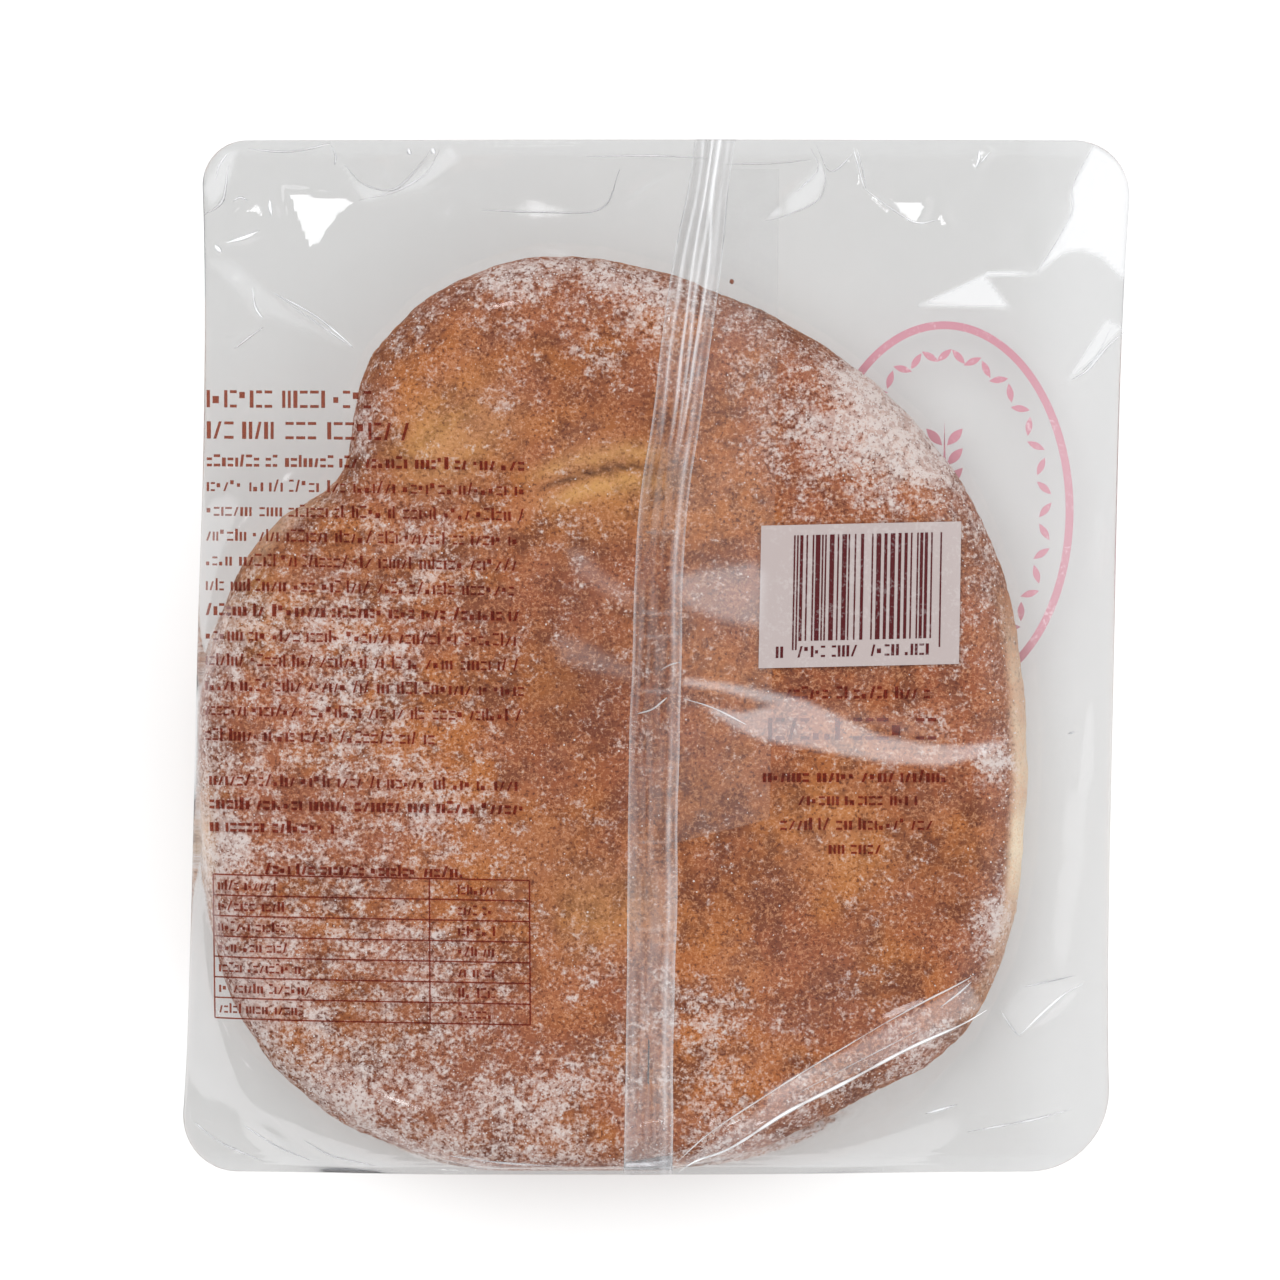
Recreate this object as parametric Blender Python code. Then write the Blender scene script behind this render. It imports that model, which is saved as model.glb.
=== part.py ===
"""A clear sealed bag with one coiled bun inside, lying on its front with its back seam up.

The bag is a flat tube of film, closed by a fin seam down its back and by a seal across each end.
It is pulled tight over the bun, so its solid runs out to the film: a low mound in the outline of
the coil, a slope of film from there to the rim, and a flat underside where the bun bears on it.
Metres, +Z up. The origin is under the middle of the bag, on the surface that it lies on.
"""

import math

import bmesh
import bpy

# The bag, seen from above: a sheared rectangle with four unlike round corners
BAG_LENGTH = 0.2206
BAG_MID_WIDTH = 0.1954
END_FLARE = 0.0046
BAG_LEAN = 0.0218
CORNER_RADII = {
    ("left", "top"): 0.0100,
    ("right", "top"): 0.0130,
    ("left", "bottom"): 0.0130,
    ("right", "bottom"): 0.0180,
}
END_SEAL_WIDTH = 0.0022
RIM_THICKNESS = 0.0008

# The rim of the bag above the table: halfway along a side, and drooping at a corner
RIM_HEIGHT = 0.0095
CORNER_HEIGHT = 0.0048
RIM_LIFT_REACH = 0.011

# The fin seam, folded flat: it runs up the back and bends towards the right above the middle
SEAM_WIDTH = 0.0100
SEAM_THICKNESS = 0.0007
SEAM_EDGE = 0.0005
SEAM_OFFSET = -0.0004
SEAM_SLANT = 0.013
SEAM_BEND = 0.135
SEAM_BEND_START = 0.025
SEAM_BEND_SOFTNESS = 0.015

# The bun, lying on its crown: its flat baked base is uppermost
BUN_CENTRE = (-0.0072, -0.0072)
BUN_RADIUS = 0.0850
BASE_HEIGHT = 0.0272
WIDEST_HEIGHT = 0.0180
SHOULDER_WIDTH = 0.0130
CROWN_WIDTH = 0.0400
FILM_LEAVES_SHOULDER = 0.0065
FILM_LEAVES_CROWN = 0.0160
FILM_GAP = 0.0003

# Lobes of the coil's outline: bearing and spread in degrees, and how far each pushes it out
OUTLINE_LOBES = (
    (107.0, 26.0, 0.0097),
    (144.0, 13.0, -0.0130),
    (182.0, 16.0, 0.0034),
    (226.0, 29.0, 0.0210),
    (262.0, 31.0, 0.0130),
    (309.0, 30.0, 0.0190),
)

# The crease between the turns: it enters at the notch and winds clockwise to the middle
NOTCH_BEARING = 144.0
CREASE_RADIUS = 0.049
CREASE_SWEEP = 430.0
CREASE_ENTRY = 0.024
CREASE_ENTRY_SWEEP = 9.0
CREASE_DEPTH = 0.0012
CREASE_SPREAD = 0.0050

# Swells of the baked base: height, waves across the bag's length, and their direction
BASE_SWELLS = ((0.00045, 3.1, 25.0), (0.00030, 5.3, 110.0), (0.00022, 7.9, 68.0))

FILM_SLOPE_POWER = 1.12
RIM_BLEND_POWER = 3.0

# Rows and columns of the film's net, closer together towards the rim
LEFT_COLUMNS = 22
RIGHT_COLUMNS = 22
SEAM_COLUMNS = 3
COLUMNS = LEFT_COLUMNS + SEAM_COLUMNS + RIGHT_COLUMNS
ROWS = 50
RIM_CROWDING = 0.62

FILM_COLOUR = (0.62, 0.43, 0.34, 1.0)
FILM_ROUGHNESS = 0.25


def lean(y):
    """How far the bag's own middle line lies to the right of the Y axis."""
    return BAG_LEAN * y


def half_width(y):
    """Half the bag's width: the bun draws its sides in, and the flat ends flare."""
    return BAG_MID_WIDTH / 2 + END_FLARE / 2 * (2 * y / BAG_LENGTH) ** 4


def corner_inset(side, y):
    """How far a round corner draws the rim in at this height up the bag."""
    radius = CORNER_RADII[side, "top" if y > 0 else "bottom"]
    into_corner = radius - (BAG_LENGTH / 2 - abs(y))
    if into_corner <= 0:
        return 0.0
    return radius - math.sqrt(max(radius**2 - into_corner**2, 0.0))


def left_rim(y):
    return lean(y) - half_width(y) + corner_inset("left", y)


def right_rim(y):
    return lean(y) + half_width(y) - corner_inset("right", y)


def seam_centre(y):
    """The fin seam's middle line: nearly straight below, bending to the right above."""
    past = y - SEAM_BEND_START
    eased = (past + math.hypot(past, SEAM_BEND_SOFTNESS)) / 2
    return SEAM_OFFSET + SEAM_SLANT * y + SEAM_BEND * eased


def distance_to_rim(x, y):
    """Distance in from the side folds and the end seals, rounded off where they meet."""
    sides = (
        x - left_rim(y),
        right_rim(y) - x,
        BAG_LENGTH / 2 - END_SEAL_WIDTH - abs(y),
    )
    if min(sides) <= 1e-6:
        return 0.0
    return sum(side**-RIM_BLEND_POWER for side in sides) ** (-1 / RIM_BLEND_POWER)


def bun_polar(x, y):
    """Distance and bearing in degrees from the middle of the coil."""
    dx = x - BUN_CENTRE[0]
    dy = y - BUN_CENTRE[1]
    return math.hypot(dx, dy), math.degrees(math.atan2(dy, dx))


def turned(bearing, other):
    """The signed turn from one bearing to another, from -180 to 180 degrees."""
    return (bearing - other + 180.0) % 360.0 - 180.0


def outline_radius(bearing):
    """The coil's outline: a circle pushed out or in by its lobes."""
    pushed = (
        push * math.exp(-((turned(bearing, lobe) / spread) ** 2))
        for lobe, spread, push in OUTLINE_LOBES
    )
    return BUN_RADIUS + sum(pushed)


def crease_distance(radius, bearing):
    """Distance to the nearest turn of the crease that winds in from the notch."""
    sweep = (NOTCH_BEARING - bearing) % 360.0
    nearest = BUN_RADIUS
    while sweep < CREASE_SWEEP:
        crease = CREASE_RADIUS * (1 - (sweep / CREASE_SWEEP) ** 2)
        crease += CREASE_ENTRY * math.exp(-sweep / CREASE_ENTRY_SWEEP)
        nearest = min(nearest, abs(radius - crease))
        sweep += 360.0
    return nearest


def base_swell(x, y):
    """Low swells over the baked base."""
    total = 0.0
    for height, waves, direction in BASE_SWELLS:
        heading = math.radians(direction)
        along = x * math.cos(heading) + y * math.sin(heading)
        total += height * math.sin(2 * math.pi * waves * along / BAG_LENGTH + waves)
    return total


def rounded_share(inside, width):
    """A quarter ellipse: 0 at the outline, rising to 1 at this width inside it."""
    rounding = max(1 - inside / width, 0.0)
    return math.sqrt(1 - rounding**2)


def bun_top(x, y):
    """Height of the baked base, rounded off at its shoulder. None beyond the outline."""
    radius, bearing = bun_polar(x, y)
    inside = outline_radius(bearing) - radius
    if inside < 0:
        return None
    share = rounded_share(inside, SHOULDER_WIDTH)
    crease = CREASE_DEPTH * math.exp(-((crease_distance(radius, bearing) / CREASE_SPREAD) ** 2))
    plateau = BASE_HEIGHT + base_swell(x, y) - crease
    return WIDEST_HEIGHT + (plateau - WIDEST_HEIGHT) * share


def bun_bottom(x, y):
    """Height of the underside, which is the coil's domed crown. None beyond the outline."""
    radius, bearing = bun_polar(x, y)
    inside = outline_radius(bearing) - radius
    if inside < 0:
        return None
    return WIDEST_HEIGHT * (1 - rounded_share(inside, CROWN_WIDTH))


def rim_height(x, y):
    """Height of the rim: it droops at the corners, and the bun lifts it where it is close."""
    cornerness = (abs(x) / half_width(y) * abs(y) * 2 / BAG_LENGTH) ** 2
    free = RIM_HEIGHT + (CORNER_HEIGHT - RIM_HEIGHT) * min(cornerness, 1.0)
    radius, bearing = bun_polar(x, y)
    gap = max(radius - outline_radius(bearing), 0.0)
    lift = math.exp(-((gap / RIM_LIFT_REACH) ** 2))
    return free + (WIDEST_HEIGHT - free) * lift


def slope_share(x, y, held_inside):
    """How far up from the rim the film has come, 1 where it lies on the bun."""
    radius, bearing = bun_polar(x, y)
    from_bun = max(radius - (outline_radius(bearing) - held_inside), 0.0)
    from_rim = distance_to_rim(x, y)
    if from_rim == 0.0:
        return 0.0
    return (from_rim / (from_rim + from_bun)) ** FILM_SLOPE_POWER


def film_top(x, y):
    """The back of the bag: over the bun, and sloping down from its shoulder to the rim."""
    share = slope_share(x, y, FILM_LEAVES_SHOULDER)
    rim = rim_height(x, y)
    height = rim + (BASE_HEIGHT + base_swell(x, y) - rim) * share
    bun = bun_top(x, y)
    if bun is not None and share > 0:
        settled = bun + FILM_GAP
        height = settled if share == 1.0 else max(height, settled)
    return height + RIM_THICKNESS / 2


def film_bottom(x, y):
    """The front of the bag: under the crown, and sloping up from there to the rim."""
    share = slope_share(x, y, FILM_LEAVES_CROWN)
    rim = rim_height(x, y) - RIM_THICKNESS / 2
    held = WIDEST_HEIGHT * (1 - rounded_share(FILM_LEAVES_CROWN, CROWN_WIDTH)) - FILM_GAP
    height = rim + (held - rim) * share
    bun = bun_bottom(x, y)
    if bun is not None and share > 0:
        settled = bun - FILM_GAP
        height = settled if share == 1.0 else min(height, settled)
    return max(height, 0.0)


def crowded(share):
    """Spaces out a row or column number from 0 at the middle to 1 at the rim."""
    return (1 - RIM_CROWDING) * share + RIM_CROWDING * math.sin(share * math.pi / 2)


def row_place(row):
    """How far up the bag a row of the net lies."""
    share = 2 * row / ROWS - 1
    return math.copysign(crowded(abs(share)), share) * BAG_LENGTH / 2


def column_place(column, y):
    """How far across the bag a column lies. Four columns follow the edges of the seam."""
    half_seam = SEAM_WIDTH / 2
    seam_left = seam_centre(y) - half_seam
    seam_right = seam_centre(y) + half_seam
    if column <= LEFT_COLUMNS:
        share = crowded(1 - column / LEFT_COLUMNS)
        return seam_left + (left_rim(y) - seam_left) * share
    if column == LEFT_COLUMNS + 1:
        return seam_left + SEAM_EDGE
    if column == LEFT_COLUMNS + 2:
        return seam_right - SEAM_EDGE
    share = crowded((column - LEFT_COLUMNS - SEAM_COLUMNS) / RIGHT_COLUMNS)
    return seam_right + (right_rim(y) - seam_right) * share


def seam_rise(column):
    """The fin seam stands proud of the film between its two edges."""
    on_seam = LEFT_COLUMNS < column < LEFT_COLUMNS + SEAM_COLUMNS
    return SEAM_THICKNESS if on_seam else 0.0


def add_film_side(mesh, height_at, with_seam):
    """One side of the bag: a net of squares laid over the surface that height_at gives."""
    grid = bmesh.ops.create_grid(mesh, x_segments=COLUMNS, y_segments=ROWS, size=1.0)
    for vertex in grid["verts"]:
        column = round((vertex.co.x + 1) / 2 * COLUMNS)
        row = round((vertex.co.y + 1) / 2 * ROWS)
        y = row_place(row)
        x = column_place(column, y)
        rise = seam_rise(column) if with_seam else 0.0
        vertex.co = (x, y, height_at(x, y) + rise)


def bag_material():
    """Glossy film over a browned, sugar-dusted crust."""
    material = bpy.data.materials.new("film_over_crust")
    material.use_nodes = True
    shader = material.node_tree.nodes["Principled BSDF"]
    shader.inputs["Base Color"].default_value = FILM_COLOUR
    shader.inputs["Roughness"].default_value = FILM_ROUGHNESS
    shader.inputs["Metallic"].default_value = 0.0
    return material


def make_bag(collection):
    """The sealed bag with the bun in it, as one closed solid out to the film."""
    shell = bmesh.new()
    add_film_side(shell, film_top, with_seam=True)
    add_film_side(shell, film_bottom, with_seam=False)
    rims = [edge for edge in shell.edges if edge.is_boundary]
    bmesh.ops.bridge_loops(shell, edges=rims)
    bmesh.ops.recalc_face_normals(shell, faces=shell.faces)
    mesh = bpy.data.meshes.new("sealed_bag")
    shell.to_mesh(mesh)
    shell.free()
    mesh.shade_smooth()
    mesh.set_sharp_from_angle(angle=math.radians(40))
    mesh.materials.append(bag_material())
    bag = bpy.data.objects.new("sealed_bag", mesh)
    collection.objects.link(bag)
    return bag


def centre_on_table(bag):
    """Puts the middle of the bag's own box over the origin, and its flat front at z = 0."""
    corners = [vertex.co for vertex in bag.data.vertices]
    middle_x = (min(c.x for c in corners) + max(c.x for c in corners)) / 2
    middle_y = (min(c.y for c in corners) + max(c.y for c in corners)) / 2
    for vertex in bag.data.vertices:
        vertex.co.x -= middle_x
        vertex.co.y -= middle_y


def main():
    for leftover in list(bpy.data.objects):
        bpy.data.objects.remove(leftover)
    collection = bpy.data.collections.new("bagged_ensaimada")
    bpy.context.scene.collection.children.link(collection)
    bag = make_bag(collection)
    centre_on_table(bag)


main()
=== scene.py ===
"""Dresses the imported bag: clear creased film, its seams and print, and the sugared coiled bun in it.

The file is laid out as an add-on: each piece has its own operator, and the sidebar panel lists
them. Metres, +Z up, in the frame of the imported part: the bag lies on its front, back seam up.
"""

import math
from typing import NamedTuple

import bmesh
import bpy
import numpy as np
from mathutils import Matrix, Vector


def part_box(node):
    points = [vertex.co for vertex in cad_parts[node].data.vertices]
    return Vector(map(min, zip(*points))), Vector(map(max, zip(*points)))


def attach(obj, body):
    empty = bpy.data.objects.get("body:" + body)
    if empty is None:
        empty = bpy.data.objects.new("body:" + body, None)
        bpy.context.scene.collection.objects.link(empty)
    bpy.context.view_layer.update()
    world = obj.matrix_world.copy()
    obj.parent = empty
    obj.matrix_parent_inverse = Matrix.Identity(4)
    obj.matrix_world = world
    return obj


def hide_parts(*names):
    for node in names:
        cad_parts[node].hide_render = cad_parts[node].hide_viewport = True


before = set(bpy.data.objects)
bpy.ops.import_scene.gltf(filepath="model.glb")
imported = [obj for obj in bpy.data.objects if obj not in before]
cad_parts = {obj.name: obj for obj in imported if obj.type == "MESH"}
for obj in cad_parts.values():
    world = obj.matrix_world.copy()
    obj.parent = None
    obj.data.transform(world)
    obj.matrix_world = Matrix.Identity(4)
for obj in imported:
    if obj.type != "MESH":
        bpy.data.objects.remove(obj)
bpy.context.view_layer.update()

bl_info = {
    "name": "Bagged Coiled Bun",
    "version": (1, 0, 0),
    "blender": (4, 5, 0),
    "location": "3D View > Sidebar > Bagged Bun",
    "description": "Makes a sugared coiled bun in a clear, sealed and printed film bag",
    "category": "Add Mesh",
}

BODY = "root"
BAG_NODE = "sealed_bag"
BAG_LOW, BAG_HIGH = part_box(BAG_NODE)

# The bag, seen from above, as the solid has it
BAG_LENGTH = BAG_HIGH.y - BAG_LOW.y
BAG_MID_WIDTH = 0.1954
END_FLARE = 0.0046
BAG_LEAN = 0.0218
CORNER_RADII = {
    ("left", "top"): 0.0100,
    ("right", "top"): 0.0130,
    ("left", "bottom"): 0.0130,
    ("right", "bottom"): 0.0180,
}
LARGEST_CORNER = max(CORNER_RADII.values())
END_SEAL_WIDTH = 0.0022
# How far in from either end the sheets part, and how far up or down the bag the bun reaches
WELD_WIDTH = 0.0012
BUN_REACH = BAG_LENGTH / 2 - WELD_WIDTH - 0.0006
RIM_THICKNESS = 0.0008
RIM_HEIGHT = 0.0095
CORNER_HEIGHT = 0.0048
RIM_LIFT_REACH = 0.011

# The fin seam's middle line
SEAM_WIDTH = 0.0100
SEAM_OFFSET = -0.0004
SEAM_SLANT = 0.013
SEAM_BEND = 0.135
SEAM_BEND_START = 0.025
SEAM_BEND_SOFTNESS = 0.015

# The bun, lying on its crown with its flat baked base uppermost
BUN_CENTRE = (-0.0072, -0.0072)
BUN_RADIUS = 0.0850
BASE_HEIGHT = 0.0272
WIDEST_HEIGHT = 0.0180
SHOULDER_WIDTH = 0.0130
CROWN_WIDTH = 0.0400
FILM_LEAVES_SHOULDER = 0.0065
FILM_LEAVES_CROWN = 0.0160
FILM_GAP = 0.0003
# Lobes of the outline: bearing and spread in degrees, and how far each pushes it out
OUTLINE_LOBES = (
    (107.0, 26.0, 0.0097),
    (142.5, 11.0, -0.0102),
    (182.0, 16.0, 0.0034),
    (226.0, 29.0, 0.0210),
    (262.0, 31.0, 0.0130),
    (309.0, 30.0, 0.0190),
)
# The bun's own side is flatter here than the film over it
FLAT_SIDE = (300.0, 11.0, -0.0041)
# The coil's crease winds in from the notch, and dips inwards soon after it
NOTCH_BEARING = 144.0
CREASE_RADIUS = 0.049
CREASE_SWEEP = 430.0
CREASE_ENTRY = 0.024
CREASE_ENTRY_SWEEP = 9.0
CREASE_DIP = (30.0, 22.0, -0.0034)
CREASE_WIDTH = 0.0009
# Low swells of the base: height, waves in the bag's length, and heading
BASE_SWELLS = ((0.00045, 3.1, 25.0), (0.00030, 5.3, 110.0), (0.00022, 7.9, 68.0))
FILM_SLOPE_POWER = 1.12
RIM_BLEND_POWER = 3.0


class Spot(NamedTuple):
    """A round patch on the bun: its middle, how far it reaches, and how strong it is."""

    x: float
    y: float
    reach: float
    strength: float


class Crease(NamedTuple):
    """A straight ridge in the film: where it runs, its rise, half its width, and its skew."""

    start: tuple
    end: tuple
    rise: float
    spread: float
    skew: float = 0.0


class Flat(NamedTuple):
    """A flat in the creased film, turned to mirror one of the studio's cards."""

    corners: tuple
    card: str


class PaintedReflection(NamedTuple):
    """A painted reflection: a patch where the film is whitened to stand for a soft highlight, with its
    corners, its strength and its soft edge.
    """

    corners: tuple
    strength: float
    edge: float


class Fold(NamedTuple):
    """A sharp, narrow fold in the film: the points it runs through, its width, and the whiteness of the
    highlight painted along it.
    """

    points: tuple
    width: float
    strength: float


class Card(NamedTuple):
    """A bright card over the bag: compass azimuth (0 is +X) and angle from straight up."""

    azimuth: float
    zenith: float


def spots(*rows):
    return tuple(Spot(*row) for row in rows)


def creases(*rows):
    return tuple(Crease(*row) for row in rows)


CARDS = {"north": Card(100.0, 28.0), "south": Card(248.0, 24.0)}
CARD_DISTANCE = 1.5
CARD_SIZE = 0.12

# Where icing sugar lies thick on the baked base
SUGAR_SPOTS = spots(
    (-0.031, 0.08, 0.009, 0.52), (-0.012, 0.081, 0.01, 0.52), (0.0, 0.071, 0.007, 0.6),
    (-0.013, 0.064, 0.006, 0.45), (-0.052, 0.066, 0.007, 0.45), (-0.062, 0.046, 0.007, 0.55),
    (-0.034, 0.054, 0.004, 0.6), (0.02, 0.066, 0.01, 0.35), (0.028, 0.05, 0.013, 0.45),
    (0.05, 0.054, 0.015, 1.25), (0.06, 0.044, 0.009, 1.0), (0.046, 0.038, 0.011, 0.4),
    (-0.045, 0.025, 0.012, 0.45), (-0.083, 0.024, 0.011, -0.3), (-0.076, 0.006, 0.01, 0.25),
    (-0.062, 0.002, 0.012, 0.3), (-0.05, -0.028, 0.018, 0.4), (-0.09, -0.04, 0.01, 0.4),
    (-0.084, -0.066, 0.01, 0.55), (-0.066, -0.088, 0.016, 0.3), (-0.038, -0.096, 0.014, 0.26),
    (-0.046, -0.066, 0.012, 0.4), (-0.016, -0.064, 0.008, 0.5), (-0.014, -0.09, 0.011, 0.5),
    (0.0, -0.074, 0.01, 0.35), (-0.026, -0.098, 0.01, 0.5), (0.01, -0.08, 0.01, 0.45),
    (0.014, -0.1, 0.01, 0.5), (0.036, -0.088, 0.008, 0.3), (0.056, -0.08, 0.007, 0.45),
    (0.072, -0.056, 0.006, 0.7), (0.071, -0.0225, 0.0042, 1.3), (0.06, -0.014, 0.008, 0.45),
    (0.06, 0.008, 0.01, 0.4), (0.07, 0.026, 0.008, 0.45),
)

# Where the crust was baked golden or dark, and where its side stayed pale
GOLDEN_SPOTS = spots(
    (-0.047, 0.044, 0.009, 0.7), (-0.036, 0.05, 0.008, 0.35), (-0.012, 0.034, 0.01, 0.2),
    (0.002, 0.034, 0.008, 0.2), (-0.013, -0.054, 0.01, 0.45), (0.038, -0.04, 0.012, 0.2),
    (-0.088, 0.012, 0.012, 0.25),
)
DARK_SPOTS = spots(
    (-0.016, 0.02, 0.012, 0.45), (0.014, -0.05, 0.01, 0.3), (-0.015, -0.006, 0.016, 0.65),
    (-0.058, -0.084, 0.022, 0.62), (-0.072, -0.042, 0.02, 0.3), (0.012, -0.03, 0.014, 0.45),
    (0.012, 0.012, 0.01, 0.45), (0.04, -0.07, 0.012, 0.4), (-0.004, 0.052, 0.014, 0.3),
    (0.062, -0.048, 0.01, 0.4), (-0.066, 0.022, 0.016, 0.25), (-0.024, -0.04, 0.014, 0.35),
    (-0.048, -0.1, 0.012, 0.3), (-0.024, -0.096, 0.018, 0.4), (-0.026, 0.063, 0.02, 0.28),
)
PALE_SIDE_SPOTS = spots(
    (0.079, -0.04, 0.026, 1.0), (0.074, -0.006, 0.014, 0.5), (-0.1, -0.04, 0.012, 0.7),
    (-0.078, 0.026, 0.01, 0.35),
)

# Flats, creases, folds and painted reflections of the back film, by where they show
FLATS = (
    Flat(((-0.0794, 0.0998), (-0.0782, 0.095), (-0.0743, 0.0868), (-0.069, 0.0906), (-0.0688, 0.0938),
         (-0.0634, 0.0972)), "north"),
    Flat(((-0.0895, 0.0945), (-0.0856, 0.0966), (-0.084, 0.0957), (-0.0832, 0.093),
         (-0.0858, 0.0942)), "north"),
    Flat(((0.047, 0.099), (0.0527, 0.0944), (0.0556, 0.0922), (0.0574, 0.0954), (0.0573, 0.097),
         (0.0528, 0.0966)), "north"),
    Flat(((0.059, 0.0928), (0.0604, 0.0918), (0.0628, 0.0918), (0.061, 0.0944)), "north"),
    Flat(((0.0682, 0.104), (0.0691, 0.1078), (0.0708, 0.108)), "north"),
)
SLACK_CREASES = creases(
    ((-0.0975, 0.086), (-0.09, 0.09), 0.0006, 0.0016), ((-0.087, 0.08), (-0.0838, 0.0715), 0.0006, 0.0016),
    ((-0.0815, 0.0774), (-0.064, 0.065), 0.0008, 0.003),
    ((-0.0965, 0.067), (-0.0838, 0.0705), 0.0005, 0.002),
    ((-0.038, 0.0945), (-0.01, 0.095), 0.0002, 0.003, 0.5),
    ((-0.01, 0.095), (0.005, 0.1045), 0.0005, 0.0026), ((-0.06, 0.108), (-0.056, 0.0975), 0.0006, 0.0024),
    ((-0.056, 0.0975), (-0.041, 0.102), 0.0006, 0.003), ((0.042, 0.1083), (0.044, 0.1), 0.0007, 0.0018),
    ((0.044, 0.1), (0.056, 0.0925), 0.0006, 0.002), ((0.034, 0.1085), (0.035, 0.1025), 0.0006, 0.0016),
    ((0.035, 0.1025), (0.023, 0.0925), 0.0006, 0.0026),
    ((0.0936, 0.109), (0.0885, 0.096), 0.0008, 0.005, -0.4),
    ((0.0885, 0.096), (0.0815, 0.082), 0.0008, 0.005, -0.4),
    ((0.0815, 0.082), (0.0705, 0.0815), 0.0006, 0.003), ((0.1, 0.07), (0.0875, 0.059), 0.0007, 0.0026),
    ((0.096, 0.04), (0.093, 0.01), 0.0004, 0.004), ((0.092, -0.008), (0.09, -0.03), 0.0004, 0.0026),
    ((0.073, -0.0755), (0.0771, -0.0807), 0.0007, 0.002),
    ((0.0771, -0.0807), (0.0912, -0.0699), 0.0008, 0.0024),
    ((0.0663, -0.1015), (0.0885, -0.0969), 0.0005, 0.0026),
    ((-0.099, -0.1), (-0.083, -0.1085), 0.0006, 0.0024), ((-0.086, -0.1), (-0.074, -0.1075), 0.0005, 0.002),
)
BUN_CREASES = creases(
    ((0.0044, -0.11), (0.0401, -0.0902), 0.0009, 0.0034),
    ((0.0401, -0.0902), (0.07, -0.0751), 0.001, 0.0034),
    ((0.006, -0.1065), (0.0351, -0.0856), 0.0008, 0.003),
    ((0.0351, -0.0856), (0.0676, -0.0675), 0.0008, 0.003),
    ((0.0057, -0.006), (0.034, -0.012), 0.0004, 0.006, 0.3),
    ((0.025, -0.01), (0.0735, -0.019), 0.0005, 0.007, 0.3),
    ((0.0035, 0.015), (0.021, 0.012), 0.0003, 0.007, 0.2),
)
PAINTED_REFLECTIONS = (
    PaintedReflection(((0.0057, -0.0047), (0.015, -0.0058), (0.0242, -0.0077), (0.0313, -0.0093), (0.0389, -0.0128),
         (0.0471, -0.0167), (0.0552, -0.0183), (0.0634, -0.0191), (0.0716, -0.0183), (0.0741, -0.0182),
         (0.0689, -0.0212), (0.0607, -0.0232), (0.0498, -0.0226), (0.04, -0.021), (0.0324, -0.0194),
         (0.0262, -0.0184), (0.021, -0.0172), (0.0159, -0.0147), (0.01, -0.0108), (0.018, -0.012),
         (0.0254, -0.0104), (0.015, -0.0076), (0.0057, -0.006)), 0.24, 0.0014),
    PaintedReflection(((-0.0191, 0.0226), (-0.0163, 0.0226), (-0.0114, 0.0177), (-0.0052, 0.0135), (-0.0052, 0.0105),
         (-0.0121, 0.0141), (-0.017, 0.0177)), 0.07, 0.003),
    PaintedReflection(((-0.0206, 0.0041), (-0.0163, 0.0034), (-0.0052, -0.0024), (-0.0052, -0.0051),
         (-0.0136, -0.003), (-0.0206, -0.0009)), 0.07, 0.003),
    PaintedReflection(((0.0033, 0.0169), (0.0208, 0.0199), (0.023, 0.017), (0.022, 0.006), (0.014, 0.0077),
         (0.0057, 0.0107)), 0.15, 0.003),
    PaintedReflection(((0.0936, 0.1092), (0.0909, 0.1043), (0.0887, 0.0994), (0.0887, 0.0944), (0.0849, 0.0874),
         (0.0813, 0.0818), (0.0871, 0.0862), (0.0909, 0.0868), (0.0952, 0.0852), (0.101, 0.0797),
         (0.103, 0.1), (0.0985, 0.106)), 0.36, 0.0014),
    PaintedReflection(((0.0699, 0.0813), (0.056, 0.0748), (0.0753, 0.0742)), 0.36, 0.0009),
    PaintedReflection(((0.0699, 0.082), (0.0813, 0.0817), (0.0702, 0.0808)), 0.4, 0.0008),
    PaintedReflection(((0.0353, 0.1053), (0.0361, 0.1015), (0.0342, 0.0971), (0.0277, 0.0939),
         (0.0279, 0.0976)), 0.18, 0.001),
    PaintedReflection(((0.0261, 0.0955), (0.023, 0.0927), (0.027, 0.0945)), 0.25, 0.0007),
    PaintedReflection(((-0.07, 0.109), (-0.064, 0.101), (-0.056, 0.0985), (-0.05, 0.104), (-0.044, 0.109),
         (-0.042, 0.106), (-0.05, 0.1), (-0.062, 0.0968)), 0.16, 0.0012),
    PaintedReflection(((-0.097, 0.1), (-0.093, 0.1075), (-0.09, 0.108), (-0.0915, 0.101),
         (-0.095, 0.096)), 0.2, 0.0012),
    PaintedReflection(((-0.096, 0.085), (-0.09, 0.084), (-0.08, 0.075), (-0.065, 0.0655),
         (-0.086, 0.074)), 0.1, 0.002),
    PaintedReflection(((0.1003, 0.07), (0.0985, 0.069), (0.094, 0.064), (0.0875, 0.0585), (0.0925, 0.0665),
         (0.0962, 0.072)), 0.22, 0.001),
    PaintedReflection(((0.078, -0.069), (0.0912, -0.0699), (0.0771, -0.0805), (0.0735, -0.0755)), 0.08, 0.001),
    PaintedReflection(((0.006, -0.1075), (0.0351, -0.0862), (0.066, -0.069), (0.069, -0.0745), (0.0401, -0.0895),
         (0.015, -0.104)), 0.14, 0.0008),
    PaintedReflection(((0.023, -0.0925), (0.0351, -0.086), (0.044, -0.082), (0.03, -0.092),
         (0.024, -0.0955)), 0.2, 0.0012),
)
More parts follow.
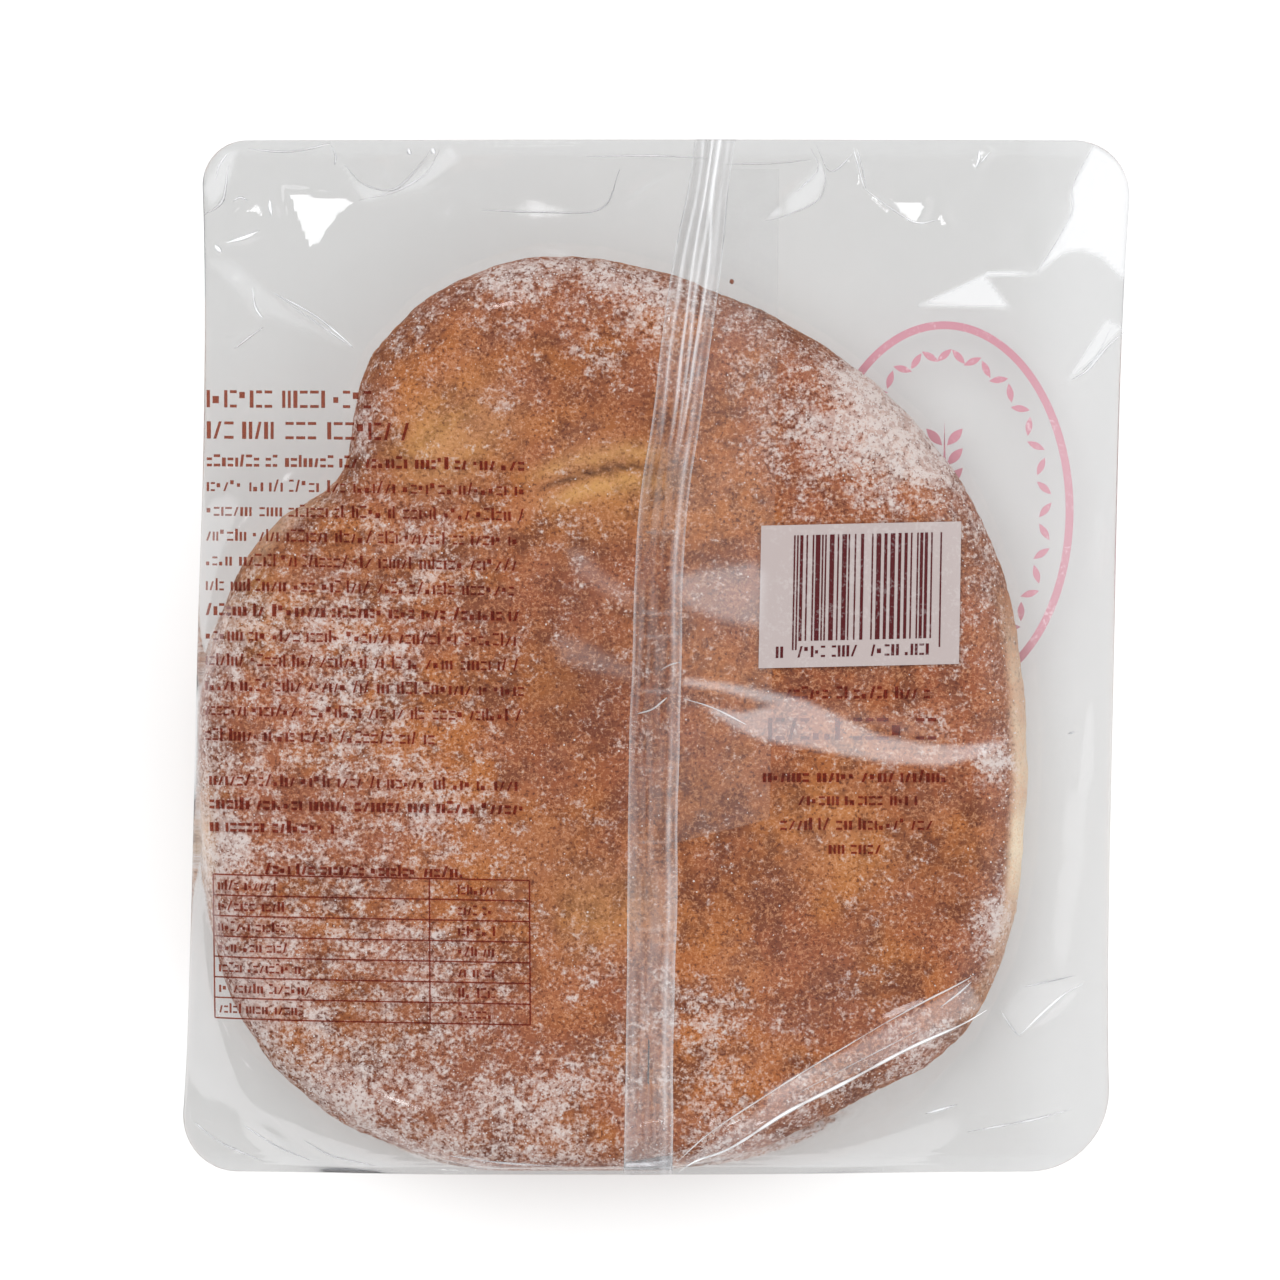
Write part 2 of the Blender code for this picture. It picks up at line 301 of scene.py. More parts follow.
FOLDS = (
    Fold(((-0.0815, 0.0774), (-0.0723, 0.0722), (-0.0644, 0.0656)), 0.00055, 0.55),
    Fold(((-0.0815, 0.0774), (-0.0712, 0.0702), (-0.0644, 0.0654)), 0.00035, 0.35),
    Fold(((-0.0862, 0.0786), (-0.0856, 0.0745), (-0.0839, 0.0718)), 0.0007, 0.55),
    Fold(((-0.0839, 0.0701), (-0.087, 0.068), (-0.0901, 0.0656)), 0.0006, 0.4),
    Fold(((-0.092, 0.0883), (-0.088, 0.0894), (-0.0847, 0.0908)), 0.0008, 0.85),
    Fold(((-0.0826, 0.0974), (-0.0825, 0.0958), (-0.0821, 0.094)), 0.0008, 0.75),
    Fold(((-0.0944, 0.0878), (-0.093, 0.0862)), 0.0012, 0.9),
    Fold(((-0.0905, 0.0972), (-0.089, 0.098), (-0.0872, 0.0973)), 0.0005, 0.45),
    Fold(((-0.0969, 0.0942), (-0.0928, 0.0974), (-0.0916, 0.1049)), 0.0006, 0.3),
    Fold(((-0.0943, 0.1017), (-0.0935, 0.105), (-0.0916, 0.1077)), 0.0005, 0.35),
    Fold(((-0.0873, 0.1085), (-0.08, 0.1078), (-0.075, 0.1083), (-0.0698, 0.1096)), 0.0005, 0.3),
    Fold(((-0.0696, 0.1092), (-0.0686, 0.107), (-0.0687, 0.1049)), 0.0006, 0.4),
    Fold(((-0.0666, 0.1049), (-0.0623, 0.1006), (-0.0559, 0.0996), (-0.0505, 0.1049),
         (-0.0484, 0.1081)), 0.00045, 0.22),
    Fold(((-0.0634, 0.0972), (-0.056, 0.099), (-0.0495, 0.1028), (-0.0463, 0.108)), 0.00045, 0.25),
    Fold(((-0.0531, 0.1085), (-0.0526, 0.107)), 0.0011, 0.7),
    Fold(((-0.048, 0.1085), (-0.0474, 0.1072)), 0.0011, 0.7),
    Fold(((-0.0371, 0.0949), (-0.025, 0.0944), (-0.0119, 0.0951), (-0.0078, 0.1038)), 0.00045, 0.14),
    Fold(((0.0421, 0.1085), (0.0432, 0.1043), (0.0443, 0.0998)), 0.0005, 0.5),
    Fold(((0.0428, 0.1085), (0.044, 0.104), (0.0447, 0.0998)), 0.0004, 0.4),
    Fold(((0.0443, 0.0998), (0.05, 0.0955), (0.0554, 0.0924), (0.06, 0.093)), 0.00045, 0.5),
    Fold(((0.0342, 0.1091), (0.0366, 0.104), (0.0386, 0.104), (0.0421, 0.1075)), 0.00045, 0.38),
    Fold(((0.0353, 0.1053), (0.0361, 0.1015), (0.0342, 0.0971), (0.0277, 0.0939),
         (0.0232, 0.0926)), 0.00045, 0.3),
    Fold(((0.033, 0.1085), (0.0345, 0.104), (0.03, 0.099)), 0.0004, 0.3),
    Fold(((0.0691, 0.1081), (0.0689, 0.1062), (0.0683, 0.1043)), 0.0007, 0.7),
    Fold(((0.0713, 0.1078), (0.0703, 0.1066), (0.0693, 0.1053)), 0.00045, 0.5),
    Fold(((0.0936, 0.1092), (0.089, 0.1005), (0.0887, 0.0944), (0.0813, 0.0818)), 0.00035, 0.2),
    Fold(((0.1001, 0.0693), (0.0963, 0.066), (0.092, 0.061), (0.0887, 0.059)), 0.0006, 0.42),
    Fold(((0.0971, 0.07), (0.094, 0.064), (0.091, 0.061)), 0.0004, 0.25),
    Fold(((0.0044, -0.11), (0.0087, -0.1071), (0.0157, -0.1043), (0.0275, -0.0966), (0.0401, -0.0902),
         (0.0529, -0.0833), (0.0645, -0.0782), (0.07, -0.0751)), 0.00085, 0.8),
    Fold(((0.0044, -0.1073), (0.0118, -0.1006), (0.0247, -0.092), (0.0351, -0.0856),
         (0.048, -0.0779)), 0.00048, 0.42),
    Fold(((0.048, -0.0779), (0.056, -0.0735), (0.063, -0.07), (0.0676, -0.0675)), 0.0004, 0.38),
    Fold(((0.03, -0.0925), (0.042, -0.0862), (0.056, -0.079)), 0.00035, 0.25),
    Fold(((0.06, -0.0745), (0.064, -0.0715), (0.0668, -0.069)), 0.0004, 0.35),
    Fold(((0.0731, -0.0754), (0.0755, -0.079), (0.0771, -0.0807)), 0.0005, 0.45),
    Fold(((0.0771, -0.0807), (0.082, -0.076), (0.087, -0.072), (0.0912, -0.0699)), 0.0006, 0.6),
    Fold(((0.0783, -0.0702), (0.085, -0.069), (0.0891, -0.0682)), 0.0004, 0.35),
    Fold(((0.0572, -0.0972), (0.0605, -0.0963), (0.0639, -0.0954)), 0.0006, 0.45),
    Fold(((0.0663, -0.1015), (0.0798, -0.0991), (0.0885, -0.0969)), 0.00055, 0.35),
    Fold(((0.0875, -0.0165), (0.089, -0.0162)), 0.0007, 0.55),
    Fold(((0.0057, -0.009), (0.012, -0.011), (0.019, -0.0145)), 0.00045, 0.4),
    Fold(((-0.004, -0.0122), (-0.0008, -0.0112), (0.0022, -0.0088)), 0.00065, 0.6),
    Fold(((0.0008, -0.003), (0.003, -0.0018), (0.005, -0.0013)), 0.0005, 0.4),
    Fold(((-0.099, -0.0995), (-0.093, -0.104), (-0.084, -0.108)), 0.0005, 0.35),
    Fold(((-0.088, -0.1), (-0.081, -0.1045), (-0.074, -0.1075)), 0.00045, 0.35),
    Fold(((-0.075, -0.103), (-0.069, -0.1065), (-0.06, -0.1085)), 0.00045, 0.28),
    Fold(((-0.044, -0.106), (-0.033, -0.1075), (-0.02, -0.1083)), 0.00045, 0.25),
    Fold(((-0.015, 0.1066), (-0.001, 0.1068), (0.012, 0.1062)), 0.0004, 0.3),
    Fold(((0.014, 0.105), (0.025, 0.1052), (0.033, 0.106)), 0.0004, 0.25),
)


def rounded_share(inside, width):
    """A quarter ellipse: 0 at the outline, rising to 1 at this width inside it."""
    rounding = np.clip(1 - inside / width, 0, 1)
    return np.sqrt(1 - rounding**2)


def smooth_step(value, low, high):
    share = np.clip((value - low) / (high - low), 0, 1)
    return share * share * (3 - 2 * share)


def bell(value, width):
    """A smooth bump: 1 where the value is 0, and nearly gone at twice this width."""
    return np.exp(-((value / width) ** 2))


def lattice_noise(x, y, cell, seed):
    """Smooth noise from -1 to 1 over a square lattice with cells of this size."""
    period = 64
    lattice = np.random.default_rng(seed).uniform(-1, 1, (period, period))
    u, v = x / cell, y / cell
    column, row = np.floor(u).astype(int), np.floor(v).astype(int)
    across, up = u - column, v - row
    across = across**3 * (across * (across * 6 - 15) + 10)
    up = up**3 * (up * (up * 6 - 15) + 10)
    near, far = column % period, (column + 1) % period
    low, high = row % period, (row + 1) % period
    bottom = lattice[near, low] * (1 - across) + lattice[far, low] * across
    top = lattice[near, high] * (1 - across) + lattice[far, high] * across
    return bottom * (1 - up) + top * up


def lean(y):
    """How far the bag's own middle line lies to the right of the Y axis."""
    return BAG_LEAN * y


def half_width(y):
    """Half the bag's width: the bun draws its sides in, and the flat ends flare."""
    return BAG_MID_WIDTH / 2 + END_FLARE / 2 * (2 * y / BAG_LENGTH) ** 4


def corner_inset(side, y):
    """How far a round corner draws the rim in at this height up the bag."""
    radius = np.where(y > 0, CORNER_RADII[side, "top"], CORNER_RADII[side, "bottom"])
    into_corner = np.clip(radius - (BAG_LENGTH / 2 - np.abs(y)), 0, radius)
    return radius - np.sqrt(radius**2 - into_corner**2)


def left_rim(y):
    return lean(y) - half_width(y) + corner_inset("left", y)


def right_rim(y):
    return lean(y) + half_width(y) - corner_inset("right", y)


def seam_centre(y):
    """The fin seam's middle line: nearly straight below, bending to the right above."""
    past = y - SEAM_BEND_START
    eased = (past + np.hypot(past, SEAM_BEND_SOFTNESS)) / 2
    return SEAM_OFFSET + SEAM_SLANT * y + SEAM_BEND * eased


def distance_to_rim(x, y):
    """Distance in from the side folds and the end seals, rounded off where they meet."""
    tiny = 1e-6
    sides = (
        x - left_rim(y),
        right_rim(y) - x,
        BAG_LENGTH / 2 - WELD_WIDTH - np.abs(y),
    )
    crowding = sum(np.maximum(side, tiny) ** -RIM_BLEND_POWER for side in sides)
    at_rim = np.minimum.reduce(sides) <= tiny
    return np.where(at_rim, 0.0, crowding ** (-1 / RIM_BLEND_POWER))


def bun_polar(x, y):
    """Distance and bearing in degrees from the middle of the coil."""
    dx, dy = x - BUN_CENTRE[0], y - BUN_CENTRE[1]
    return np.hypot(dx, dy), np.degrees(np.arctan2(dy, dx))


def turned(bearing, other):
    """The signed turn from one bearing to another, from -180 to 180 degrees."""
    return (bearing - other + 180.0) % 360.0 - 180.0


def outline_radius(bearing):
    """The coil's outline: a circle pushed out or in by its lobes."""
    pushed = (
        push * bell(turned(bearing, lobe), spread)
        for lobe, spread, push in OUTLINE_LOBES
    )
    return BUN_RADIUS + sum(pushed)


def inside_bun(x, y):
    """How far inside the coil's outline a point lies, below 0 outside it."""
    radius, bearing = bun_polar(x, y)
    return outline_radius(bearing) - radius


def crease_place(x, y):
    """Signed distance to the nearest turn of the coil's crease, and how far round that is."""
    radius, bearing = bun_polar(x, y)
    nearest = np.full_like(radius, BUN_RADIUS)
    swept = np.zeros_like(radius)
    for lap in range(2):
        sweep = (NOTCH_BEARING - bearing) % 360.0 + 360.0 * lap
        crease = CREASE_RADIUS * (1 - (sweep / CREASE_SWEEP) ** 2)
        crease = crease + CREASE_ENTRY * np.exp(-sweep / CREASE_ENTRY_SWEEP)
        at_sweep, spread, dip = CREASE_DIP
        crease = crease + dip * bell(sweep - at_sweep, spread)
        away = radius - crease
        closer = (np.abs(away) < np.abs(nearest)) & (sweep < CREASE_SWEEP)
        nearest = np.where(closer, away, nearest)
        swept = np.where(closer, sweep, swept)
    return nearest, swept


def open_crease(swept):
    """Where round its turn the crease stands open in the base, 0 to 1."""
    return smooth_step(swept, 24, 40) * smooth_step(swept, 70, 54)


def base_swell(x, y):
    """Low swells over the baked base."""
    total = np.zeros_like(x)
    for height, waves, direction in BASE_SWELLS:
        heading = math.radians(direction)
        along = x * math.cos(heading) + y * math.sin(heading)
        total = total + height * np.sin(2 * math.pi * waves * along / BAG_LENGTH + waves)
    return total


def rim_height(x, y):
    """Height of the rim: it droops at the corners, and the bun lifts it where it is close."""
    cornerness = (np.abs(x) / half_width(y) * np.abs(y) * 2 / BAG_LENGTH) ** 2
    free = RIM_HEIGHT + (CORNER_HEIGHT - RIM_HEIGHT) * np.minimum(cornerness, 1.0)
    gap = np.maximum(-inside_bun(x, y), 0.0)
    return free + (WIDEST_HEIGHT - free) * bell(gap, RIM_LIFT_REACH)


def slope_share(x, y, held_inside):
    """How far up from the rim the film has come, 1 where it lies on the bun."""
    from_bun = np.maximum(held_inside - inside_bun(x, y), 0.0)
    from_rim = distance_to_rim(x, y)
    reached = from_rim / np.maximum(from_rim + from_bun, 1e-9)
    return np.where(from_rim > 0, reached, 0.0) ** FILM_SLOPE_POWER


def drawn_back(x, y):
    """The back film pulled smooth: over the bun, and down from its shoulder to the rim."""
    share = slope_share(x, y, FILM_LEAVES_SHOULDER)
    rim = rim_height(x, y)
    swell = BASE_HEIGHT + base_swell(x, y) - WIDEST_HEIGHT
    over = WIDEST_HEIGHT + FILM_GAP
    inside = inside_bun(x, y)
    settled = over + swell * rounded_share(inside, SHOULDER_WIDTH)
    held = over + swell * rounded_share(FILM_LEAVES_SHOULDER, SHOULDER_WIDTH)
    slope = rim + (held - rim) * share
    lying = np.where(share >= 1, settled, np.maximum(slope, settled))
    return np.where((inside < 0) | (share <= 0), slope, lying) + RIM_THICKNESS / 2


def drawn_front(x, y):
    """The front film pulled smooth: under the crown, and up from there to the rim."""
    share = slope_share(x, y, FILM_LEAVES_CROWN)
    rim = rim_height(x, y) - RIM_THICKNESS / 2
    held = WIDEST_HEIGHT * (1 - rounded_share(FILM_LEAVES_CROWN, CROWN_WIDTH)) - FILM_GAP
    slope = rim + (held - rim) * share
    inside = inside_bun(x, y)
    settled = WIDEST_HEIGHT * (1 - rounded_share(inside, CROWN_WIDTH)) - FILM_GAP
    lying = np.where(share >= 1, settled, np.minimum(slope, settled))
    return np.maximum(np.where((inside < 0) | (share <= 0), slope, lying), 0.0)


# How far a crease strays from straight, and a flat's walls: their slope and how far out they start
CREASE_WANDER = 0.0006
FLAT_WALL = 2.2
FLAT_MARGIN = 0.0012


def crease_rise(x, y, crease):
    """A ridge that tapers to both its ends, with straight flanks and a slight wander."""
    (x0, y0), (x1, y1) = crease.start, crease.end
    length = math.hypot(x1 - x0, y1 - y0)
    ux, uy = (x1 - x0) / length, (y1 - y0) / length
    along = ((x - x0) * ux + (y - y0) * uy) / length
    across = (y - y0) * ux - (x - x0) * uy
    across = across + CREASE_WANDER * lattice_noise(x, y, 0.009, 11)
    taper = np.sin(np.pi * np.clip(along, 0, 1)) ** 0.6
    spread = crease.spread * (0.35 + 0.65 * taper) * (1 + crease.skew * np.sign(across))
    return crease.rise * taper * np.maximum(1 - np.abs(across) / spread, 0)


def within(x, y, corners):
    """Distance to the edge of a polygon, above 0 inside it and below 0 outside it."""
    nearest = np.full_like(x, 1.0)
    crossings = np.zeros(x.shape, dtype=int)
    for (x0, y0), (x1, y1) in zip(corners, corners[1:] + corners[:1]):
        ux, uy = x1 - x0, y1 - y0
        along = np.clip(((x - x0) * ux + (y - y0) * uy) / (ux * ux + uy * uy), 0, 1)
        nearest = np.minimum(nearest, np.hypot(x - x0 - along * ux, y - y0 - along * uy))
        if y0 != y1:
            crossing_x = x0 + (y - y0) / (y1 - y0) * ux
            crossings = crossings + (((y0 > y) != (y1 > y)) & (x < crossing_x))
    return np.where(crossings % 2 == 1, nearest, -nearest)


def on_dome(azimuth, zenith, distance):
    """A point over the bag, by compass azimuth (0 is +X, 90 is +Y) and angle from straight up."""
    flat = math.sin(math.radians(zenith)) * distance
    turn = math.radians(azimuth)
    return (flat * math.cos(turn), flat * math.sin(turn), math.cos(math.radians(zenith)) * distance)


def mirroring_slope(place, card):
    """How fast a flat at this place falls along X and Y, to show the camera this card."""
    stage = settings().stage
    camera = Vector((stage.view_centre[0], stage.view_centre[1], stage.camera_height))
    to_camera = (camera - place).normalized()
    to_card = (Vector(on_dome(card.azimuth, card.zenith, CARD_DISTANCE)) - place).normalized()
    halfway = to_camera + to_card
    return halfway.x / halfway.z, halfway.y / halfway.z


def flat_rise(x, y, smooth, flat):
    """A flat between steep walls, just clear of the smooth film, that mirrors its card."""
    corner_x, corner_y = np.array(flat.corners).T
    levels = drawn_back(corner_x, corner_y)
    middle = Vector((corner_x.mean(), corner_y.mean(), levels.mean()))
    slope_x, slope_y = mirroring_slope(middle, CARDS[flat.card])
    over = float(np.max(levels + slope_x * corner_x + slope_y * corner_y))
    plane = over - slope_x * x - slope_y * y
    return np.maximum(np.minimum(plane - smooth, FLAT_WALL * (within(x, y, flat.corners) + FLAT_MARGIN)), 0)


def film_slack(x, y, smooth):
    """How far the back film stands off from its smooth pull: creases, flats and soft waves."""
    film = settings().film
    rise = np.zeros_like(x)
    for crease in SLACK_CREASES + BUN_CREASES:
        rise = np.maximum(rise, crease_rise(x, y, crease))
    free = smooth_step(-inside_bun(x, y), -0.004, 0.012)
    waves = 0.0004 * free * lattice_noise(x, y, 0.021, 5)
    waves = waves + (0.00006 + 0.00006 * free) * lattice_noise(x, y, 0.006, 7)
    held = smooth_step(distance_to_rim(x, y), 0.0, 0.006)
    slack = (rise * film.crease_rise + waves) * held
    for flat in FLATS:
        raised = flat_rise(x, y, smooth, flat)
        slack = np.where(raised > 0, np.maximum(raised, slack * 0.2), slack)
    return slack


RIB_HEIGHT = 0.00009
RIB_PITCH = 0.0011


def end_ribs(y):
    """The fine ribs that the sealing jaws press into both ends."""
    into_seal = np.abs(y) - (BAG_LENGTH / 2 - 2 * END_SEAL_WIDTH)
    ribs = RIB_HEIGHT * np.sin(2 * np.pi * into_seal / RIB_PITCH)
    return np.where(into_seal > 0, ribs, 0.0)


def back_height(x, y):
    smooth = drawn_back(x, y)
    return smooth + film_slack(x, y, smooth) + end_ribs(y)


def front_height(x, y):
    free = smooth_step(drawn_front(x, y), 0.001, 0.006) * smooth_step(distance_to_rim(x, y), 0, 0.006)
    waves = 0.0005 * lattice_noise(x, y, 0.018, 15) + 0.0002 * lattice_noise(x, y, 0.006, 17)
    return drawn_front(x, y) + free * waves


def spot_field(x, y, spots):
    """How strongly a set of spots marks each point."""
    total = np.zeros_like(x)
    for spot in spots:
        away = ((x - spot.x) ** 2 + (y - spot.y) ** 2) / spot.reach**2
        total = total + spot.strength * np.exp(-away)
    return total


# Meshes and node trees


def settings():
    return bpy.context.scene.bagged_bun


def placed(name, data):
    """A new object in the scene that shows a mesh, a lamp or a camera."""
    item = bpy.data.objects.new(name, data)
    bpy.context.scene.collection.objects.link(item)
    return item


def mesh_object(name, points, faces, smooth=True):
    """A new object from arrays of points and of faces."""
    mesh = bpy.data.meshes.new(name)
    mesh.from_pydata([tuple(point) for point in points], [], faces)
    mesh.update()
    if smooth:
        mesh.shade_smooth()
    return placed(name, mesh)


def net_faces(rows, columns, start=0, closed=False, flipped=False):
    """Squares between neighbouring rows of points that are stored row by row."""
    faces = []
    span = columns if closed else columns - 1
    for row in range(rows - 1):
        base = start + row * columns
        for column in range(span):
            beside = (column + 1) % columns
            square = (base + column, base + beside, base + columns + beside, base + columns + column)
            faces.append(square[::-1] if flipped else square)
    return faces


def net_points(x, y, height):
    """The points of a net, row by row."""
    return np.stack([x, y, height], -1).reshape(-1, 3)


def store(piece, name, values):
    """Keeps one number for each point of a piece, for its material to read."""
    attribute = piece.data.attributes.new(name, "FLOAT", "POINT")
    attribute.data.foreach_set("value", np.asarray(values, np.float32).ravel())


def face_outwards(piece):
    """Turns every face of a closed piece to point out of it."""
    shell = bmesh.new()
    shell.from_mesh(piece.data)
    bmesh.ops.recalc_face_normals(shell, faces=shell.faces)
    shell.to_mesh(piece.data)
    shell.free()


def finish_piece(piece, material, replaced=()):
    """Gives a piece its material, its body and the solids it stands for."""
    piece.data.materials.clear()
    piece.data.materials.append(material)
    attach(piece, BODY)
    if replaced:
        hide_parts(*replaced)


class Wiring:
    """Adds nodes to one tree, sets their values and joins their sockets."""

    def __init__(self, tree):
        self.tree = tree

    def put(self, socket, value):
        if isinstance(value, bpy.types.NodeSocket):
            self.tree.links.new(value, socket)
        else:
            socket.default_value = value

    def add(self, kind, inputs=None, **settings):
        node = self.tree.nodes.new(kind)
        for name, value in settings.items():
            setattr(node, name, value)
        for name, value in (inputs or {}).items():
            self.put(node.inputs[name], value)
        return node

    def maths(self, operation, first, second=0.0, third=0.0):
        node = self.add("ShaderNodeMath", operation=operation)
        for socket, value in zip(node.inputs, (first, second, third)):
            self.put(socket, value)
        return node.outputs[0]

    def times(self, first, second):
        return self.maths("MULTIPLY", first, second)

    def vector(self, x, y, z):
        return self.add("ShaderNodeCombineXYZ", {"X": x, "Y": y, "Z": z}).outputs[0]

    def range(self, value, low, high, to_low=0.0, to_high=1.0):
        node = self.add("ShaderNodeMapRange", interpolation_type="SMOOTHSTEP")
        for socket, entry in zip(node.inputs, (value, low, high, to_low, to_high)):
            self.put(socket, entry)
        return node.outputs[0]

    def blend(self, share, first, second):
        node = self.add("ShaderNodeMix", data_type="RGBA")
        for index, entry in ((0, share), (6, first), (7, second)):
            self.put(node.inputs[index], entry)
        return node.outputs[2]

    def noise(self, where, scale, detail=2.0, roughness=0.5):
        inputs = {"Vector": where, "Scale": scale, "Detail": detail, "Roughness": roughness}
        return self.add("ShaderNodeTexNoise", inputs).outputs[0]

    def mixed(self, share, first, second):
        node = self.add("ShaderNodeMixShader", {"Fac": share})
        self.put(node.inputs[1], first.outputs[0])
        self.put(node.inputs[2], second.outputs[0])
        return node

    def clear(self, colour=(1.0, 1.0, 1.0)):
        return self.add("ShaderNodeBsdfTransparent", {"Color": (*colour, 1.0)})

    def attribute(self, name):
        return self.add("ShaderNodeAttribute", attribute_name=name).outputs["Fac"]

    def place(self):
        return self.add("ShaderNodeTexCoord").outputs["Object"]


def new_group(name, kind, inputs, outputs):
    """An empty node group with named sockets: its wiring, its inputs and its output node."""
    tree = bpy.data.node_groups.new(name, kind)
    for socket_name, socket_type, default in inputs:
        socket = tree.interface.new_socket(socket_name, in_out="INPUT", socket_type=socket_type)
        if default is not None:
            socket.default_value = default
    for socket_name, socket_type in outputs:
        tree.interface.new_socket(socket_name, in_out="OUTPUT", socket_type=socket_type)
    wires = Wiring(tree)
    entry = wires.add("NodeGroupInput")
    result = wires.add("NodeGroupOutput")
    return wires, entry.outputs, result.inputs


def new_material(name):
    """An empty material, and the wiring for its nodes."""
    material = bpy.data.materials.new(name)
    material.use_nodes = True
    material.node_tree.nodes.clear()
    return material, Wiring(material.node_tree)


def surfaced(material, shader):
    """The material with this shader as its surface."""
    output = material.node_tree.nodes.new("ShaderNodeOutputMaterial")
    material.node_tree.links.new(shader.outputs[0], output.inputs["Surface"])
    return material


def grown(name, mesh, tree, inputs, thickness=0.0):
    """Runs a geometry tree on a mesh, and gives the plain mesh that comes out of it."""
    guide = placed(name + "_guide", mesh)
    modifier = guide.modifiers.new("Grow", "NODES")
    modifier.node_group = tree
    for item in tree.interface.items_tree:
        if item.item_type == "SOCKET" and item.in_out == "INPUT" and item.name in inputs:
            modifier[item.identifier] = inputs[item.name]
    if thickness:
        wall = guide.modifiers.new("Wall", "SOLIDIFY")
        wall.thickness = thickness
        wall.offset = 0.0
    depsgraph = bpy.context.evaluated_depsgraph_get()
    result = bpy.data.meshes.new_from_object(guide.evaluated_get(depsgraph))
    result.name = name
    bpy.data.objects.remove(guide)
    return placed(name, result)


def draping_tree():
    """Lays a flat mesh onto a surface, straight up or down, and lifts it clear by a set height."""
    wires, given, result = new_group(
        "Drape",
        "GeometryNodeTree",
        (
            ("Geometry", "NodeSocketGeometry", None),
            ("Surface", "NodeSocketObject", None),
            ("Direction", "NodeSocketFloat", -1.0),
            ("Lift", "NodeSocketFloat", 0.0001),
            ("Material", "NodeSocketMaterial", None),
        ),
        (("Geometry", "NodeSocketGeometry"),),
    )
    surface = wires.add("GeometryNodeObjectInfo", {"Object": given["Surface"]})
    place = wires.add("GeometryNodeInputPosition").outputs[0]
    x, y, _z = wires.add("ShaderNodeSeparateXYZ", {"Vector": place}).outputs
    cast = wires.add(
        "GeometryNodeRaycast",
        {
            "Target Geometry": surface.outputs["Geometry"],
            "Source Position": wires.vector(x, y, wires.times(given["Direction"], -1.0)),
            "Ray Direction": wires.vector(0.0, 0.0, given["Direction"]),
            "Ray Length": 10.0,
        },
    )
    hit = wires.add("ShaderNodeSeparateXYZ", {"Vector": cast.outputs["Hit Position"]})
    lifted = wires.maths("ADD", hit.outputs[2], given["Lift"])
    moved = wires.add(
        "GeometryNodeSetPosition",
        {"Geometry": given["Geometry"], "Position": wires.vector(x, y, lifted)},
    )
    painted = wires.add(
        "GeometryNodeSetMaterial", {"Geometry": moved.outputs[0], "Material": given["Material"]}
    )
    wires.put(result["Geometry"], painted.outputs[0])
    return wires.tree


def scattering_tree():
    """Scatters small many-sided lumps over a surface, as thickly as one of its attributes says."""
    wires, given, result = new_group(
        "Scatter",
        "GeometryNodeTree",
        (
            ("Geometry", "NodeSocketGeometry", None),
            ("Density", "NodeSocketFloat", 100000.0),
            ("Smallest", "NodeSocketFloat", 0.0001),
            ("Largest", "NodeSocketFloat", 0.0004),
            ("Flatness", "NodeSocketFloat", 0.6),
            ("Seed", "NodeSocketInt", 1),
            ("Material", "NodeSocketMaterial", None),
        ),
        (("Geometry", "NodeSocketGeometry"),),
    )
    thickness = wires.add("GeometryNodeInputNamedAttribute", data_type="FLOAT")
    wires.put(thickness.inputs["Name"], "clumps")
    density = wires.times(given["Density"], thickness.outputs["Attribute"])
    points = wires.add(
        "GeometryNodeDistributePointsOnFaces",
        {"Mesh": given["Geometry"], "Density": density, "Seed": given["Seed"]},
    )
    lump = wires.add("GeometryNodeMeshIcoSphere", {"Radius": 1.0, "Subdivisions": 1})
    size = wires.add("FunctionNodeRandomValue", {"Seed": given["Seed"]}, data_type="FLOAT")
    spin = wires.add("FunctionNodeRandomValue", data_type="FLOAT_VECTOR")
    wires.put(size.inputs[2], given["Smallest"])
    wires.put(size.inputs[3], given["Largest"])
    spin.inputs[1].default_value = (0.6, 0.6, 6.28)
    across = size.outputs[1]
    turn = wires.add(
        "FunctionNodeRotateRotation",
        {"Rotation": points.outputs["Rotation"], "Rotate By": spin.outputs[0]},
        rotation_space="LOCAL",
    )
    placed = wires.add(
        "GeometryNodeInstanceOnPoints",
        {
            "Points": points.outputs["Points"],
            "Instance": lump.outputs["Mesh"],
            "Rotation": turn.outputs[0],
            "Scale": wires.vector(across, across, wires.times(across, given["Flatness"])),
        },
    )
    realised = wires.add("GeometryNodeRealizeInstances", {"Geometry": placed.outputs[0]})
    painted = wires.add(
        "GeometryNodeSetMaterial",
        {"Geometry": realised.outputs[0], "Material": given["Material"]},
    )
    wires.put(result["Geometry"], painted.outputs[0])
    return wires.tree


# Shader groups


def speckle_group():
    """Grains in flakes: the mottling of a crust, a dusting of sugar or a worn print."""
    name = "Speckle"
    if name in bpy.data.node_groups:
        return bpy.data.node_groups[name]
    wires, given, result = new_group(
        name,
        "ShaderNodeTree",
        (
            ("Vector", "NodeSocketVector", None),
            ("Flakes", "NodeSocketFloat", 300.0),
            ("Grains", "NodeSocketFloat", 1400.0),
            ("Cover", "NodeSocketFloat", 0.5),
            ("Softness", "NodeSocketFloat", 0.03),
        ),
        (("Mask", "NodeSocketFloat"), ("Grain", "NodeSocketFloat")),
    )
    reach = 0.30
    where = given["Vector"]
    flakes = wires.noise(where, given["Flakes"], 3.0, 0.66)
    grains = wires.noise(where, given["Grains"], 2.0, 0.70)
    level = wires.maths("MULTIPLY_ADD", flakes, 0.50, wires.times(grains, 0.50))
    edge = wires.maths("MULTIPLY_ADD", given["Cover"], -reach, 0.5 + reach / 2)
    low = wires.maths("SUBTRACT", edge, given["Softness"])
    high = wires.maths("ADD", edge, given["Softness"])
    wires.put(result["Mask"], wires.range(level, low, high))
    wires.put(result["Grain"], grains)
    return wires.tree


